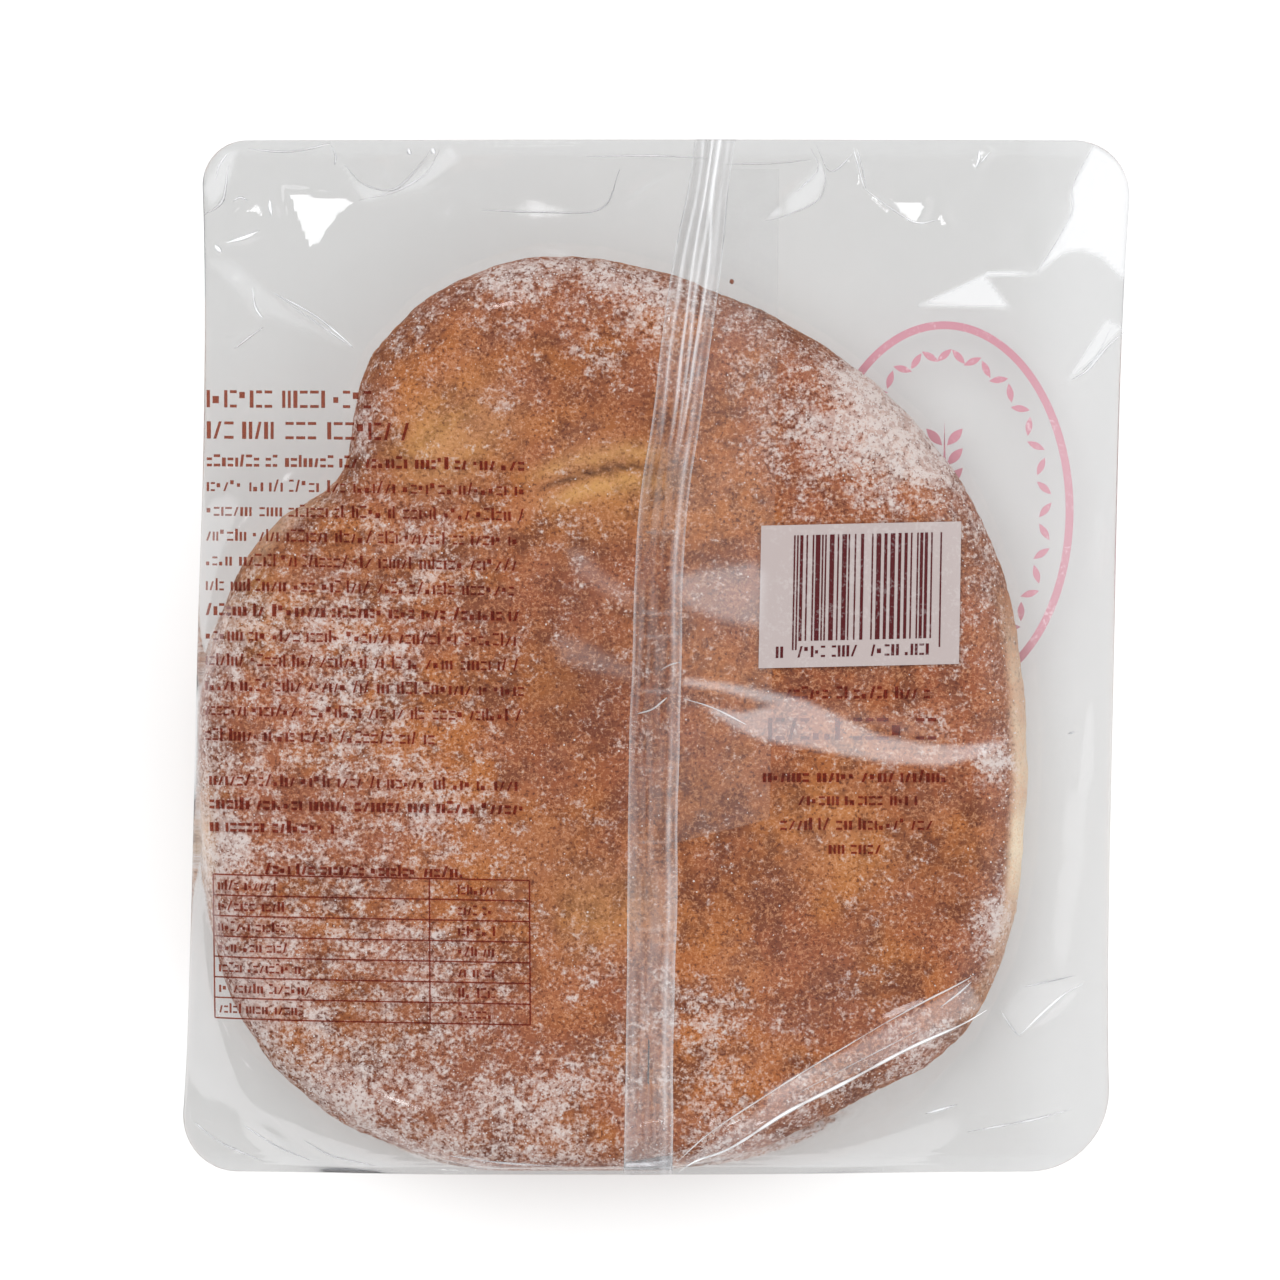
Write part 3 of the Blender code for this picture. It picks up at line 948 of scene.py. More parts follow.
def ripple_group():
    """Fine crinkles of thin film: heights for a bump, and where the film is hazier."""
    name = "Film crinkles"
    if name in bpy.data.node_groups:
        return bpy.data.node_groups[name]
    wires, given, result = new_group(
        name,
        "ShaderNodeTree",
        (("Vector", "NodeSocketVector", None), ("Scale", "NodeSocketFloat", 60.0)),
        (("Height", "NodeSocketFloat"), ("Haze", "NodeSocketFloat")),
    )
    where = given["Vector"]
    broad = wires.noise(where, given["Scale"], 1.0)
    fine = wires.noise(where, wires.times(given["Scale"], 5.0), 1.0)
    wires.put(result["Height"], wires.maths("MULTIPLY_ADD", fine, 0.25, broad))
    wires.put(result["Haze"], wires.range(fine, 0.45, 0.75))
    return wires.tree


def use_group(wires, tree, **inputs):
    return wires.add("ShaderNodeGroup", inputs, node_tree=tree).outputs


# Materials

INK_SOLIDITY = 0.20
TABLE_GLOW = 0.35


def film_material(name, tint, haze, gloss_share, crinkle_scale):
    """Clear film: it mirrors more light at a low angle, and casts no shadow. Its white veil is the film's
    haze and whitening, with the glints and reflections that are painted on the piece.
    """
    film = settings().film
    material, wires = new_material(name)
    crinkles = use_group(wires, ripple_group(), Vector=wires.place(), Scale=crinkle_scale)
    normal = wires.add(
        "ShaderNodeBump",
        {"Height": crinkles["Height"], "Distance": film.crinkle_depth, "Strength": 1.0},
    ).outputs[0]
    # White veil: the film's haze, plus the whitening, painted glints and painted reflections stored on the
    # piece
    veil = wires.maths("MULTIPLY_ADD", crinkles["Haze"], haze * 0.5, wires.attribute("whitening_and_painted_glints"))
    veil = wires.maths("ADD", veil, haze)
    gloss = wires.add("ShaderNodeFresnel", {"IOR": 1.5, "Normal": normal}).outputs[0]
    gloss = wires.times(gloss, gloss_share)
    share = wires.maths("ADD", gloss, veil)
    share.node.use_clamp = True
    mirrored = wires.maths("DIVIDE", gloss, wires.maths("ADD", share, 0.0001))
    shader = wires.add(
        "ShaderNodeBsdfPrincipled",
        {
            "Base Color": (0.92, 0.93, 0.95, 1.0),
            "Metallic": mirrored,
            "Roughness": film.roughness,
            "Normal": normal,
        },
    )
    seen = wires.mixed(share, wires.clear(tint), shader)
    rays = wires.add("ShaderNodeLightPath").outputs
    unseen = wires.maths("MAXIMUM", rays["Is Shadow Ray"], rays["Is Diffuse Ray"])
    return surfaced(material, wires.mixed(unseen, seen, wires.clear()))


def crust_material():
    """Browned crust: patches of brown and orange, fine grain, and icing sugar rubbed in."""
    bun = settings().bun
    sugar = settings().sugar
    material, wires = new_material("baked_crust")
    where = wires.place()
    broad = wires.range(wires.noise(where, 42.0, 2.0, 0.6), 0.34, 0.66)
    leaning = wires.add(
        "ShaderNodeMapping",
        {"Vector": where, "Rotation": (0.0, 0.0, 0.65), "Scale": (3.5, 1.0, 1.0)},
        vector_type="TEXTURE",
    ).outputs[0]
    smears = wires.range(wires.noise(leaning, 105.0, 2.0, 0.6), 0.46, 0.66)
    patchy = wires.range(wires.noise(where, 130.0, 3.0, 0.72), 0.42, 0.64)
    amount = wires.attribute("sugar")
    speckle = speckle_group()
    dusting = use_group(
        wires, speckle, Vector=where, Flakes=350.0, Grains=1250.0, Cover=amount, Softness=0.105
    )
    grain = dusting["Grain"]
    fine = wires.noise(where, 500.0, 2.0, 0.72)
    from_middle = wires.maths("ABSOLUTE", wires.maths("SUBTRACT", fine, 0.5))
    fibres = wires.times(wires.range(from_middle, 0.042, 0.004), wires.range(grain, 0.38, 0.56))
    dark = wires.attribute("dark")
    colour = wires.blend(broad, (*bun.crust_brown, 1.0), (*bun.crust_orange, 1.0))
    colour = wires.blend(wires.times(patchy, 0.74), colour, (*bun.crust_dark, 1.0))
    # The dark attribute also holds painted shade round the shoulder
    colour = wires.blend(wires.times(dark, 0.8), colour, (*bun.crust_dark, 1.0))
    gold = wires.times(wires.attribute("gold"), wires.range(patchy, 1.0, 0.0, 0.65, 1.0))
    colour = wires.blend(gold, colour, (*bun.crust_gold, 1.0))
    colour = wires.blend(wires.attribute("pale"), colour, (*bun.side_pale, 1.0))
    melted = wires.times(wires.range(broad, 0.9, 0.1), 0.36)
    melted = wires.times(melted, wires.range(amount, 0.0, 0.3, 0.40, 1.0))
    melted = wires.maths("MAXIMUM", melted, wires.times(smears, 0.32))
    colour = wires.blend(melted, colour, (*bun.crust_rosy, 1.0))
    plain = wires.maths("MAXIMUM", wires.attribute("pale"), wires.times(gold, 0.6))
    contrast = wires.maths("MULTIPLY_ADD", plain, -0.8 * bun.grain_contrast, bun.grain_contrast)
    pits = wires.times(wires.range(grain, 0.44, 0.32), contrast)
    colour = wires.blend(pits, colour, (*bun.crust_dark, 1.0))
    lit = wires.maths("MAXIMUM", wires.range(grain, 0.55, 0.68), fibres)
    flecks = wires.times(lit, 0.62 * bun.grain_contrast)
    flecks = wires.times(flecks, wires.maths("MULTIPLY_ADD", dark, -0.5, 1.0))
    colour = wires.blend(flecks, colour, (*bun.crust_fleck, 1.0))
    colour = wires.blend(wires.attribute("shade"), colour, (0.030, 0.010, 0.006, 1.0))
    bared = wires.maths("MULTIPLY_ADD", pits, -0.7, 1.0)
    powdery = wires.times(bared, wires.range(fine, 0.40, 0.58, 0.55, 1.0))
    thick = wires.times(wires.times(dusting["Mask"], sugar.opacity), powdery)
    colour = wires.blend(thick, colour, (*sugar.colour, 1.0))
    normal = wires.add(
        "ShaderNodeBump", {"Height": grain, "Distance": 0.00036, "Strength": 0.8}
    ).outputs[0]
    roughness = wires.range(patchy, 0.0, 1.0, 0.62, 0.82)
    shader = wires.add(
        "ShaderNodeBsdfPrincipled",
        {"Base Color": colour, "Roughness": roughness, "Normal": normal, "Specular IOR Level": 0.3},
    )
    return surfaced(material, shader)


def powder_material(name, colour, unevenness):
    """Fine matt powder or crumb, a little uneven in tone from lump to lump."""
    material, wires = new_material(name)
    tone = wires.noise(wires.place(), 900.0, 2.0)
    darker = tuple(channel * (1 - unevenness) for channel in colour)
    mixed = wires.blend(wires.range(tone, 0.3, 0.7), (*darker, 1.0), (*colour, 1.0))
    shader = wires.add("ShaderNodeBsdfPrincipled", {"Base Color": mixed, "Roughness": 0.9})
    return surfaced(material, shader)


def ink_material(name, colour, paler, wear, passed=None):
    """Printed ink, worn in paler specks. Thin ink also lets some coloured light through."""
    material, wires = new_material(name)
    where = wires.place()
    speckle = speckle_group()
    specks = use_group(wires, speckle, Vector=where, Flakes=240.0, Grains=1500.0, Cover=wear, Softness=0.05)
    worn = tuple(channel + (1 - channel) * paler for channel in colour)
    mixed = wires.blend(specks["Mask"], (*colour, 1.0), (*worn, 1.0))
    shader = wires.add(
        "ShaderNodeBsdfPrincipled", {"Base Color": mixed, "Roughness": 0.6, "Specular IOR Level": 0.0}
    )
    if passed:
        shader = wires.mixed(INK_SOLIDITY, wires.clear(passed), shader)
    return surfaced(material, shader)


def floor_material():
    """A plain white table top that glows a little, so that shadows on it stay pale."""
    material, wires = new_material("white_table")
    tone = wires.range(wires.noise(wires.place(), 3.0), 0.3, 0.7, 0.515, 0.525)
    colour = wires.add("ShaderNodeCombineColor", {"Red": tone, "Green": tone, "Blue": tone})
    shader = wires.add(
        "ShaderNodeBsdfPrincipled",
        {"Base Color": colour.outputs[0], "Roughness": 0.9, "Specular IOR Level": 0.0},
    )
    wires.put(shader.inputs["Emission Color"], (1.0, 1.0, 1.0, 1.0))
    wires.put(shader.inputs["Emission Strength"], TABLE_GLOW)
    return surfaced(material, shader)


# The bun

BEARINGS = 540
BASE_RINGS = 78
SHOULDER_RINGS = 26
CROWN_RINGS = 30
UNDER_RINGS = 30


def ring_profile():
    """Each ring from the middle of the base round to the middle of the crown.

    A ring has a share of the way out, the width that it is measured within, and how far the
    bun's skin has rolled from the flat base (0) through its side (1) to the crown (2).
    """
    rings = []
    for ring in range(1, BASE_RINGS):
        rings.append((ring / BASE_RINGS, SHOULDER_WIDTH, 0.0))
    for ring in range(SHOULDER_RINGS):
        rings.append((1.0, SHOULDER_WIDTH, ring / SHOULDER_RINGS))
    for ring in range(CROWN_RINGS):
        rings.append((1.0, CROWN_WIDTH, 1.0 + ring / CROWN_RINGS))
    for ring in range(UNDER_RINGS, 0, -1):
        rings.append((ring / UNDER_RINGS, CROWN_WIDTH, 2.0))
    return rings


def base_relief(x, y):
    """The baked base's own relief: its crease, shallow dents and crumb."""
    bun = settings().bun
    away, swept = crease_place(x, y)
    open_part = open_crease(swept)
    crease = bell(away, CREASE_WIDTH) * bun.crease_depth
    lip = bell(away + 0.004, 0.0035) * 0.0006
    faint = smooth_step(swept, 110, 90) + 0.35
    groove = bell(away, 0.004) * 0.0005 * faint
    crumb = bun.crumb_relief * lattice_noise(x, y, 0.0032, 21)
    crumb = crumb + bun.crumb_relief * 0.8 * lattice_noise(x, y, 0.0014, 22)
    return (lip - crease) * open_part - groove + crumb - bun.crumb_relief


def crown_relief(x, y):
    """The crown's own relief: the groove between its turns, and swells of the dough."""
    away, swept = crease_place(x, y)
    depth = 0.0085 * smooth_step(swept, 0, 20)
    groove = depth * np.exp(-(np.abs(away) / 0.0085) ** 1.4)
    swell = 0.0006 + 0.0006 * lattice_noise(x, y, 0.012, 31)
    return groove + swell + 0.0002 * lattice_noise(x, y, 0.003, 32)


def make_bun_mesh():
    """The whole bun as rings of points, its flat base uppermost."""
    bearings = np.linspace(0, 360, BEARINGS, endpoint=False)
    bearing, spread, push = FLAT_SIDE
    outline = outline_radius(bearings) + push * bell(turned(bearings, bearing), spread)
    cosines, sines = np.cos(np.radians(bearings)), np.sin(np.radians(bearings))
    rows, rolls = [], []
    for share, width, roll in ring_profile():
        quarter = (roll - math.floor(roll)) * math.pi / 2 if roll < 2 else math.pi / 2
        if roll < 1:
            inside = width * (1 - math.sin(quarter))
        else:
            inside = width * (1 - math.cos(quarter))
        radius = share * (outline - width) if share < 1 or roll in (0.0, 2.0) else outline - inside
        x = BUN_CENTRE[0] + radius * cosines
        y = BUN_CENTRE[1] + radius * sines
        plateau = BASE_HEIGHT + base_swell(x, y)
        side = 0.00035 * (1 + lattice_noise(x + roll * 0.004, y, 0.009, 41))
        side = side + 0.00016 * (1 + lattice_noise(x, y + roll * 0.004, 0.0014, 42))
        side = side * math.sin(min(roll, 1) * math.pi / 2)
        if roll < 1:
            height = WIDEST_HEIGHT + (plateau - WIDEST_HEIGHT) * math.cos(quarter)
            height = height + base_relief(x, y) * math.cos(quarter)
        else:
            height = WIDEST_HEIGHT * (1 - math.sin(quarter))
            height = height + (crown_relief(x, y) + FILM_GAP) * math.sin(quarter)
        x = x - side * cosines
        y = np.maximum(y - side * sines, -BUN_REACH)
        rows.append(net_points(x, y, height))
        rolls.append(np.full(BEARINGS, roll))
    return np.concatenate(rows), np.concatenate(rolls)


def pole(height_at):
    """The point in the middle of the coil, on the base or on the crown."""
    x, y = np.array([BUN_CENTRE[0]]), np.array([BUN_CENTRE[1]])
    return net_points(x, y, height_at(x, y))


def make_bun():
    """The coiled bun as one closed piece, with where it is pale, golden, dark and sugared, and shade
    painted in its crease, its groove and round its shoulder.
    """
    points, roll = make_bun_mesh()
    rings = len(ring_profile())
    top = pole(lambda x, y: BASE_HEIGHT + base_swell(x, y) + base_relief(x, y))
    bottom = pole(lambda x, y: crown_relief(x, y) + FILM_GAP)
    faces = net_faces(rings, BEARINGS, closed=True)
    top_index, bottom_index = len(points), len(points) + 1
    last = (rings - 1) * BEARINGS
    for bearing in range(BEARINGS):
        beside = (bearing + 1) % BEARINGS
        faces.append((top_index, bearing, beside))
        faces.append((bottom_index, last + beside, last + bearing))
    points = np.concatenate([points, top, bottom])
    roll = np.concatenate([roll, [0.0, 2.0]])
    piece = mesh_object("bun", points, faces)
    face_outwards(piece)
    x, y = points[:, 0], points[:, 1]
    away, swept = crease_place(x, y)
    on_base = smooth_step(roll, 1.05, 0.75)
    open_part = open_crease(swept) * on_base
    blotch = 0.5 + 0.5 * lattice_noise(x, y, 0.006, 51)
    leftness = smooth_step(x, -0.020, -0.070) * smooth_step(y, 0.040, 0.0)
    sugar = 0.02 + 0.27 * leftness + spot_field(x, y, SUGAR_SPOTS) * 0.66
    sugar = sugar + 0.22 * (blotch - 0.5) + 0.10 * lattice_noise(x, y, 0.015, 52)
    rim_band = bell(roll - 0.60, 0.32)
    sugar = sugar + 0.20 * rim_band
    sugar = np.where(roll > 1.0, 0.45 + 0.25 * blotch, sugar)
    pale = np.clip(spot_field(x, y, PALE_SIDE_SPOTS), 0, 1)
    pale = pale * smooth_step(roll, 0.42, 0.62) * smooth_step(roll, 1.5, 1.1)
    pale = np.maximum(pale, 0.20 * smooth_step(roll, 0.85, 1.0) * smooth_step(roll, 1.5, 1.1))
    sugar = sugar - 0.25 * pale - 0.4 * bell(away, 0.0025) * open_part
    sugar = sugar + (settings().sugar.cover - 0.5)
    rims = bell(np.abs(away) - 0.0030, 0.0022) * open_part * 0.70
    gold = np.clip(spot_field(x, y, GOLDEN_SPOTS) * on_base + rims, 0, 1)
    dark = np.clip(spot_field(x, y, DARK_SPOTS) * on_base, 0, 1)
    # Painted shade: the crust is darkened round its shoulder, where it turns away from the light, except on
    # its pale side
    dark = np.maximum(dark, 0.7 * rim_band * (1 - np.clip(2 * pale, 0, 1)))
    groove = bell(away, 0.0030) * smooth_step(roll, 1.0, 1.4) * 0.6
    shade = bell(away, 0.0006) * open_part * 0.62 + groove
    store(piece, "sugar", np.clip(sugar, 0, 1))
    store(piece, "pale", pale)
    store(piece, "gold", gold)
    store(piece, "dark", dark)
    store(piece, "shade", shade)
    clumps = smooth_step(sugar, 0.30, 0.85) * smooth_step(roll, 1.3, 0.9)
    clumps = clumps + 0.22 * rim_band * (1 - pale) + 0.015
    clumps = np.where(roll > 1.05, 0.20 * blotch, clumps)
    store(piece, "clumps", clumps)
    finish_piece(piece, crust_material())
    return piece


def make_sugar():
    """Lumps of icing sugar on the bun, thickest where the sugar is."""
    sugar = settings().sugar
    bun = bpy.data.objects["bun"]
    material = powder_material("icing_sugar", sugar.colour, 0.08)
    inputs = {
        "Density": sugar.lumps_per_square_metre,
        "Smallest": sugar.smallest_lump,
        "Largest": sugar.largest_lump,
        "Flatness": 0.55,
        "Seed": 3,
        "Material": material,
    }
    piece = grown("icing_sugar", bun.data.copy(), scattering_tree(), inputs)
    finish_piece(piece, material)


CRUMB_PLACE = (0.0161, 0.0800)
CRUMB_RADIUS = 0.00050


def make_crumb():
    """A loose crumb of crust, lying on the front film."""
    x, y = CRUMB_PLACE
    under = float(front_height(np.array([x]), np.array([y]))[0])
    lump = bmesh.new()
    bmesh.ops.create_icosphere(lump, subdivisions=2, radius=CRUMB_RADIUS)
    draws = np.random.default_rng(100)
    for vertex in lump.verts:
        vertex.co *= 1 + draws.uniform(-0.25, 0.25)
        vertex.co.z *= 0.7
        vertex.co += Vector((x, y, under + CRUMB_RADIUS * 0.8))
    mesh = bpy.data.meshes.new("crumb")
    lump.to_mesh(mesh)
    lump.free()
    piece = placed("crumb", mesh)
    material = powder_material("crust_crumb", settings().bun.crust_brown, 0.4)
    finish_piece(piece, material)


# The film

CORE_ROWS = 222
CORNER_ROWS = 32
FILM_COLUMNS = 252


def film_rows():
    """Heights up the bag of the film's rows, closer together round the corners."""
    corner = np.sin(np.linspace(0, np.pi / 2, CORNER_ROWS + 1)) * LARGEST_CORNER
    straight = BAG_LENGTH / 2 - LARGEST_CORNER
    core = np.linspace(-straight, straight, CORE_ROWS + 1)
    return np.concatenate([-straight - corner[:0:-1], core, straight + corner[1:]])


def film_net(step):
    """Places of every point, or of every second one, across and up the bag."""
    y = film_rows()[::step]
    share = np.linspace(0, 1, FILM_COLUMNS + 1)[::step]
    grid_y = np.repeat(y[:, None], len(share), 1)
    low, high = left_rim(grid_y), right_rim(grid_y)
    return low + (high - low) * share[None, :], grid_y


def rim_loop(rows, columns, start):
    """Indices round the edge of a net, anticlockwise from its first point."""
    bottom = [start + column for column in range(columns - 1)]
    right = [start + row * columns + columns - 1 for row in range(rows - 1)]
    top = [start + (rows - 1) * columns + column for column in range(columns - 1, 0, -1)]
    left = [start + row * columns for row in range(rows - 1, 0, -1)]
    return bottom + right + top + left


def make_film():
    """The bag's film: a fine back sheet and a coarser front one, joined round the rim."""
    film = settings().film
    back_x, back_y = film_net(1)
    front_x, front_y = film_net(2)
    back = net_points(back_x, back_y, back_height(back_x, back_y))
    front = net_points(front_x, front_y, front_height(front_x, front_y))
    start = len(back)
    faces = net_faces(*back_x.shape) + net_faces(*front_x.shape, start=start, flipped=True)
    fine = rim_loop(*back_x.shape, 0)
    coarse = rim_loop(*front_x.shape, start)
    for number, corner in enumerate(coarse):
        beside = coarse[(number + 1) % len(coarse)]
        first, middle = fine[2 * number], fine[2 * number + 1]
        last = fine[(2 * number + 2) % len(fine)]
        faces.append((corner, middle, first))
        faces.append((corner, beside, middle))
        faces.append((beside, last, middle))
    points = np.concatenate([back, front])
    piece = mesh_object("film", points, faces)
    face_outwards(piece)
    x, y = points[:, 0], points[:, 1]
    creased = np.zeros(len(points))
    for crease in SLACK_CREASES + BUN_CREASES:
        rise = crease_rise(x, y, crease) / crease.rise
        creased = np.maximum(creased, smooth_step(rise, 0.55, 1.0))
    # Painted reflections: patches of the film whitened to stand for soft highlights
    painted_reflections = np.zeros(len(points))
    for veil in PAINTED_REFLECTIONS:
        shown = smooth_step(within(x, y, veil.corners), -veil.edge / 2, veil.edge / 2)
        painted_reflections = np.maximum(painted_reflections, veil.strength * shown)
    sealed = smooth_step(np.abs(y), BAG_LENGTH / 2 - 2 * END_SEAL_WIDTH, BAG_LENGTH / 2 - END_SEAL_WIDTH)
    # Painted light: the film is whitened towards its right side
    rubbed = 0.11 * smooth_step(x - lean(y), 0.072, 0.090)
    whitening_and_painted_glints = np.maximum(0.05 * creased, painted_reflections * film.veil_strength) + rubbed
    whitening_and_painted_glints = np.where(np.arange(len(points)) < start, whitening_and_painted_glints, 0.0) + 0.04 * sealed
    store(piece, "whitening_and_painted_glints", whitening_and_painted_glints)
    material = film_material("clear_film", film.tint, film.haze, film.gloss, 55.0)
    finish_piece(piece, material, (BAG_NODE,))


def smooth_path(points, spacing):
    """Points along a smooth curve through the given ones, about this far apart."""
    if len(points) == 2:
        (x0, y0), (x1, y1) = points
        points = (points[0], ((x0 + x1) / 2, (y0 + y1) / 2), points[1])
    ends = [2 * np.array(points[0]) - np.array(points[1])]
    ends += [np.array(point) for point in points]
    ends += [2 * np.array(points[-1]) - np.array(points[-2])]
    path = []
    for before, start, end, after in zip(ends, ends[1:], ends[2:], ends[3:]):
        steps = max(2, round(float(np.hypot(*(end - start))) / spacing))
        for step in range(steps):
            t = step / steps
            path.append(
                0.5
                * (
                    2 * start
                    + (end - before) * t
                    + (2 * before - 5 * start + 4 * end - after) * t**2
                    + (3 * start - before - 3 * end + after) * t**3
                )
            )
    path.append(ends[-2])
    return np.array(path)


FOLD_SPACING = 0.0006
# A fold's outline across it: share of its half width, and height at a width of half a millimetre
FOLD_SIDES = (
    (-1.0, -0.00004), (-0.45, 0.00016), (0.0, 0.00024), (0.45, 0.00016), (1.0, -0.00004), (0.0, -0.00010),
)
FOLD_PROFILE_WIDTH = 0.0005


def make_folds():
    """Sharp folds as slender ridges that taper to both ends, lying along the back film."""
    film = settings().film
    points, faces, whiteness = [], [], []
    for fold in FOLDS:
        path = smooth_path(fold.points, FOLD_SPACING)
        ahead = np.gradient(path, axis=0)
        ahead = ahead / np.hypot(ahead[:, 0], ahead[:, 1])[:, None]
        share = np.linspace(0, 1, len(path))
        waver = lattice_noise(path[:, 0], path[:, 1], 0.004, 71)
        taper = np.sin(np.pi * np.clip(share, 0.02, 0.98)) ** 0.5 * (1 + 0.35 * waver)
        start = len(points)
        for (x, y), (ux, uy), size, glint in zip(path, ahead, taper, waver):
            for across, rise in FOLD_SIDES:
                px = x - uy * across * fold.width / 2 * size
                py = y + ux * across * fold.width / 2 * size
                points.append([px, py, rise * size * fold.width / FOLD_PROFILE_WIDTH])
                # Each fold carries a painted highlight: a white veil along its ridge
                whiteness.append(fold.strength * (0.75 + 0.35 * glint) * film.fold_strength)
        sides = len(FOLD_SIDES)
        faces += net_faces(len(path), sides, start=start, closed=True)
        faces.append(tuple(range(start, start + sides))[::-1])
        last = start + (len(path) - 1) * sides
        faces.append(tuple(range(last, last + sides)))
    points = np.array(points)
    points[:, 2] += back_height(points[:, 0], points[:, 1])
    piece = mesh_object("film_folds", points, faces)
    face_outwards(piece)
    store(piece, "whitening_and_painted_glints", np.clip(np.array(whiteness), 0, 1))
    material = film_material("folded_film", film.seam_tint, 0.0, film.seam_gloss, 90.0)
    finish_piece(piece, material)


# The fin seam, folded flat up the back

SEAM_ROWS = 420
SEAM_COLUMNS = 30
SEAM_LIFT = 0.00022
SEAM_WALL = 0.00030
WELD_LINE = 0.66

# Where small folds cross the seam, and how wide they are; each carries a painted highlight
SEAM_CROSS_LINES = (
    (-0.0612, 0.00022),
    (-0.0580, 0.00030),
    (-0.0395, 0.00025),
    (-0.0240, 0.00022),
    (-0.0075, 0.00040),
    (0.0040, 0.00030),
    (0.0090, 0.00045),
    (0.0260, 0.00025),
)


class Pleat(NamedTuple):
    """A pleat where the seam is gathered: its place across, its width, its height, and the whiteness of the
    highlight painted along its ridge.
    """

    place: float
    width: float
    height: float
    whiteness: float


GATHERED_FROM_TO = (0.035, 0.065)
PLEATS = (
    Pleat(-0.55, 0.10, 0.5, 0.20),
    Pleat(-0.15, 0.08, 0.9, 0.32),
    Pleat(0.12, 0.07, 0.7, 0.24),
    Pleat(0.36, 0.07, 0.8, 0.30),
)


def pleat_place(pleat, y):
    """Where a pleat runs at this height up the bag, as it drifts a little to either side."""
    return pleat.place + 0.10 * lattice_noise(y, np.full_like(y, pleat.place), 0.02, 61)


def seam_half_width(y):
    """The seam is a little narrower at the top, where it is gathered."""
    return SEAM_WIDTH / 2 * (1.04 - 0.16 * smooth_step(y, 0.07, 0.105))


def seam_relief(across, y):
    """Ridges along the seam: its edges, the weld line, and pleats where it is gathered."""
    edges = 0.00008 * (smooth_step(np.abs(across), 0.80, 0.97) - smooth_step(np.abs(across), 0.97, 1.0))
    weld = 0.00006 * bell(across - WELD_LINE, 0.07)
    fold = 0.00010 * bell(across + 0.15, 0.09)
    gathered = smooth_step(y, *GATHERED_FROM_TO)
    pleats = np.zeros_like(across)
    for pleat in PLEATS:
        pleats = pleats + pleat.height * bell(across - pleat_place(pleat, y), pleat.width)
    swell = 0.0003 * lattice_noise(y, across * 0.002, 0.012, 62)
    return edges + weld + fold + 0.00032 * gathered * pleats + swell * 0.4


def make_fin_seam():
    """The fin seam: a flattened strip of doubled film, with its weld line and pleats."""
    film = settings().film
    y = np.linspace(-BAG_LENGTH / 2, BAG_LENGTH / 2, SEAM_ROWS + 1)
    across = np.linspace(-1, 1, SEAM_COLUMNS + 1)
    grid_y = np.repeat(y[:, None], len(across), 1)
    grid_across = np.repeat(across[None, :], len(y), 0)
    wander = 0.0004 * lattice_noise(grid_y, np.sign(grid_across) * 0.01, 0.017, 63)
    x = seam_centre(grid_y) + grid_across * seam_half_width(grid_y) + wander
    lie = back_height(x, grid_y) + SEAM_LIFT
    upper = lie + SEAM_WALL * np.sqrt(np.maximum(1 - grid_across**8, 0)) + seam_relief(grid_across, grid_y)
    above = net_points(x, grid_y, upper)
    below = net_points(x, grid_y, lie)
    start = len(above)
    shape = x.shape
    faces = net_faces(*shape) + net_faces(*shape, start=start, flipped=True)
    upper_rim, lower_rim = rim_loop(*shape, 0), rim_loop(*shape, start)
    for number, corner in enumerate(upper_rim):
        following = (number + 1) % len(upper_rim)
        faces.append((corner, lower_rim[number], lower_rim[following], upper_rim[following]))
    piece = mesh_object("fin_seam", np.concatenate([above, below]), faces)
    face_outwards(piece)
    doubled = np.concatenate([grid_across.ravel()] * 2)
    along = np.concatenate([grid_y.ravel()] * 2)
    streaks = lattice_noise(doubled * 0.005, along * 0.06, 0.0006, 64)
    # The seam's whitening: its own haze and whitish weld line, and painted highlights along its edges, on
    # its pleats and on the small folds across it
    whitening_and_painted_glints = 0.09 * bell(doubled - WELD_LINE, 0.075) * (1 + 0.6 * lattice_noise(along, along, 0.006, 65))
    whitening_and_painted_glints = whitening_and_painted_glints + 0.10 * smooth_step(np.abs(doubled), 0.88, 0.98)
    whitening_and_painted_glints = whitening_and_painted_glints + 0.030 * smooth_step(doubled, 0.40, 0.60) + 0.030 * streaks
    whitening_and_painted_glints = whitening_and_painted_glints + 0.020 * smooth_step(doubled, -0.55, -0.75)
    whitening_and_painted_glints = whitening_and_painted_glints + 0.012 + 0.045 * smooth_step(along, -0.020, -0.070)
    gathered = smooth_step(along, *GATHERED_FROM_TO)
    for pleat in PLEATS:
        ridge = bell(doubled - pleat_place(pleat, along), 0.06)
        whitening_and_painted_glints = whitening_and_painted_glints + pleat.whiteness * gathered * ridge
    for place, width in SEAM_CROSS_LINES:
        bow = place + 0.0010 * doubled**2
        whitening_and_painted_glints = whitening_and_painted_glints + 0.05 * bell(along - bow, width) * (np.abs(doubled - 0.1) < 0.75)
    store(piece, "whitening_and_painted_glints", np.clip(whitening_and_painted_glints, 0, 1))
    material = film_material("seam_film", film.seam_tint, film.seam_haze, film.seam_gloss, 90.0)
    finish_piece(piece, material)


# What lies flat on the film: print, label and the seam's inner lap


def patches(boxes, cell):
    """A flat mesh of rectangles, each cut into cells small enough to follow the film."""
    points, faces = [], []
    for x0, y0, x1, y1 in boxes:
        across = max(1, math.ceil((x1 - x0) / cell))
        up = max(1, math.ceil((y1 - y0) / cell))
        base = len(points)
        for row in range(up + 1):
            for column in range(across + 1):
                points.append((x0 + (x1 - x0) * column / across, y0 + (y1 - y0) * row / up, 0.0))
        faces += net_faces(up + 1, across + 1, start=base)
    return points, faces


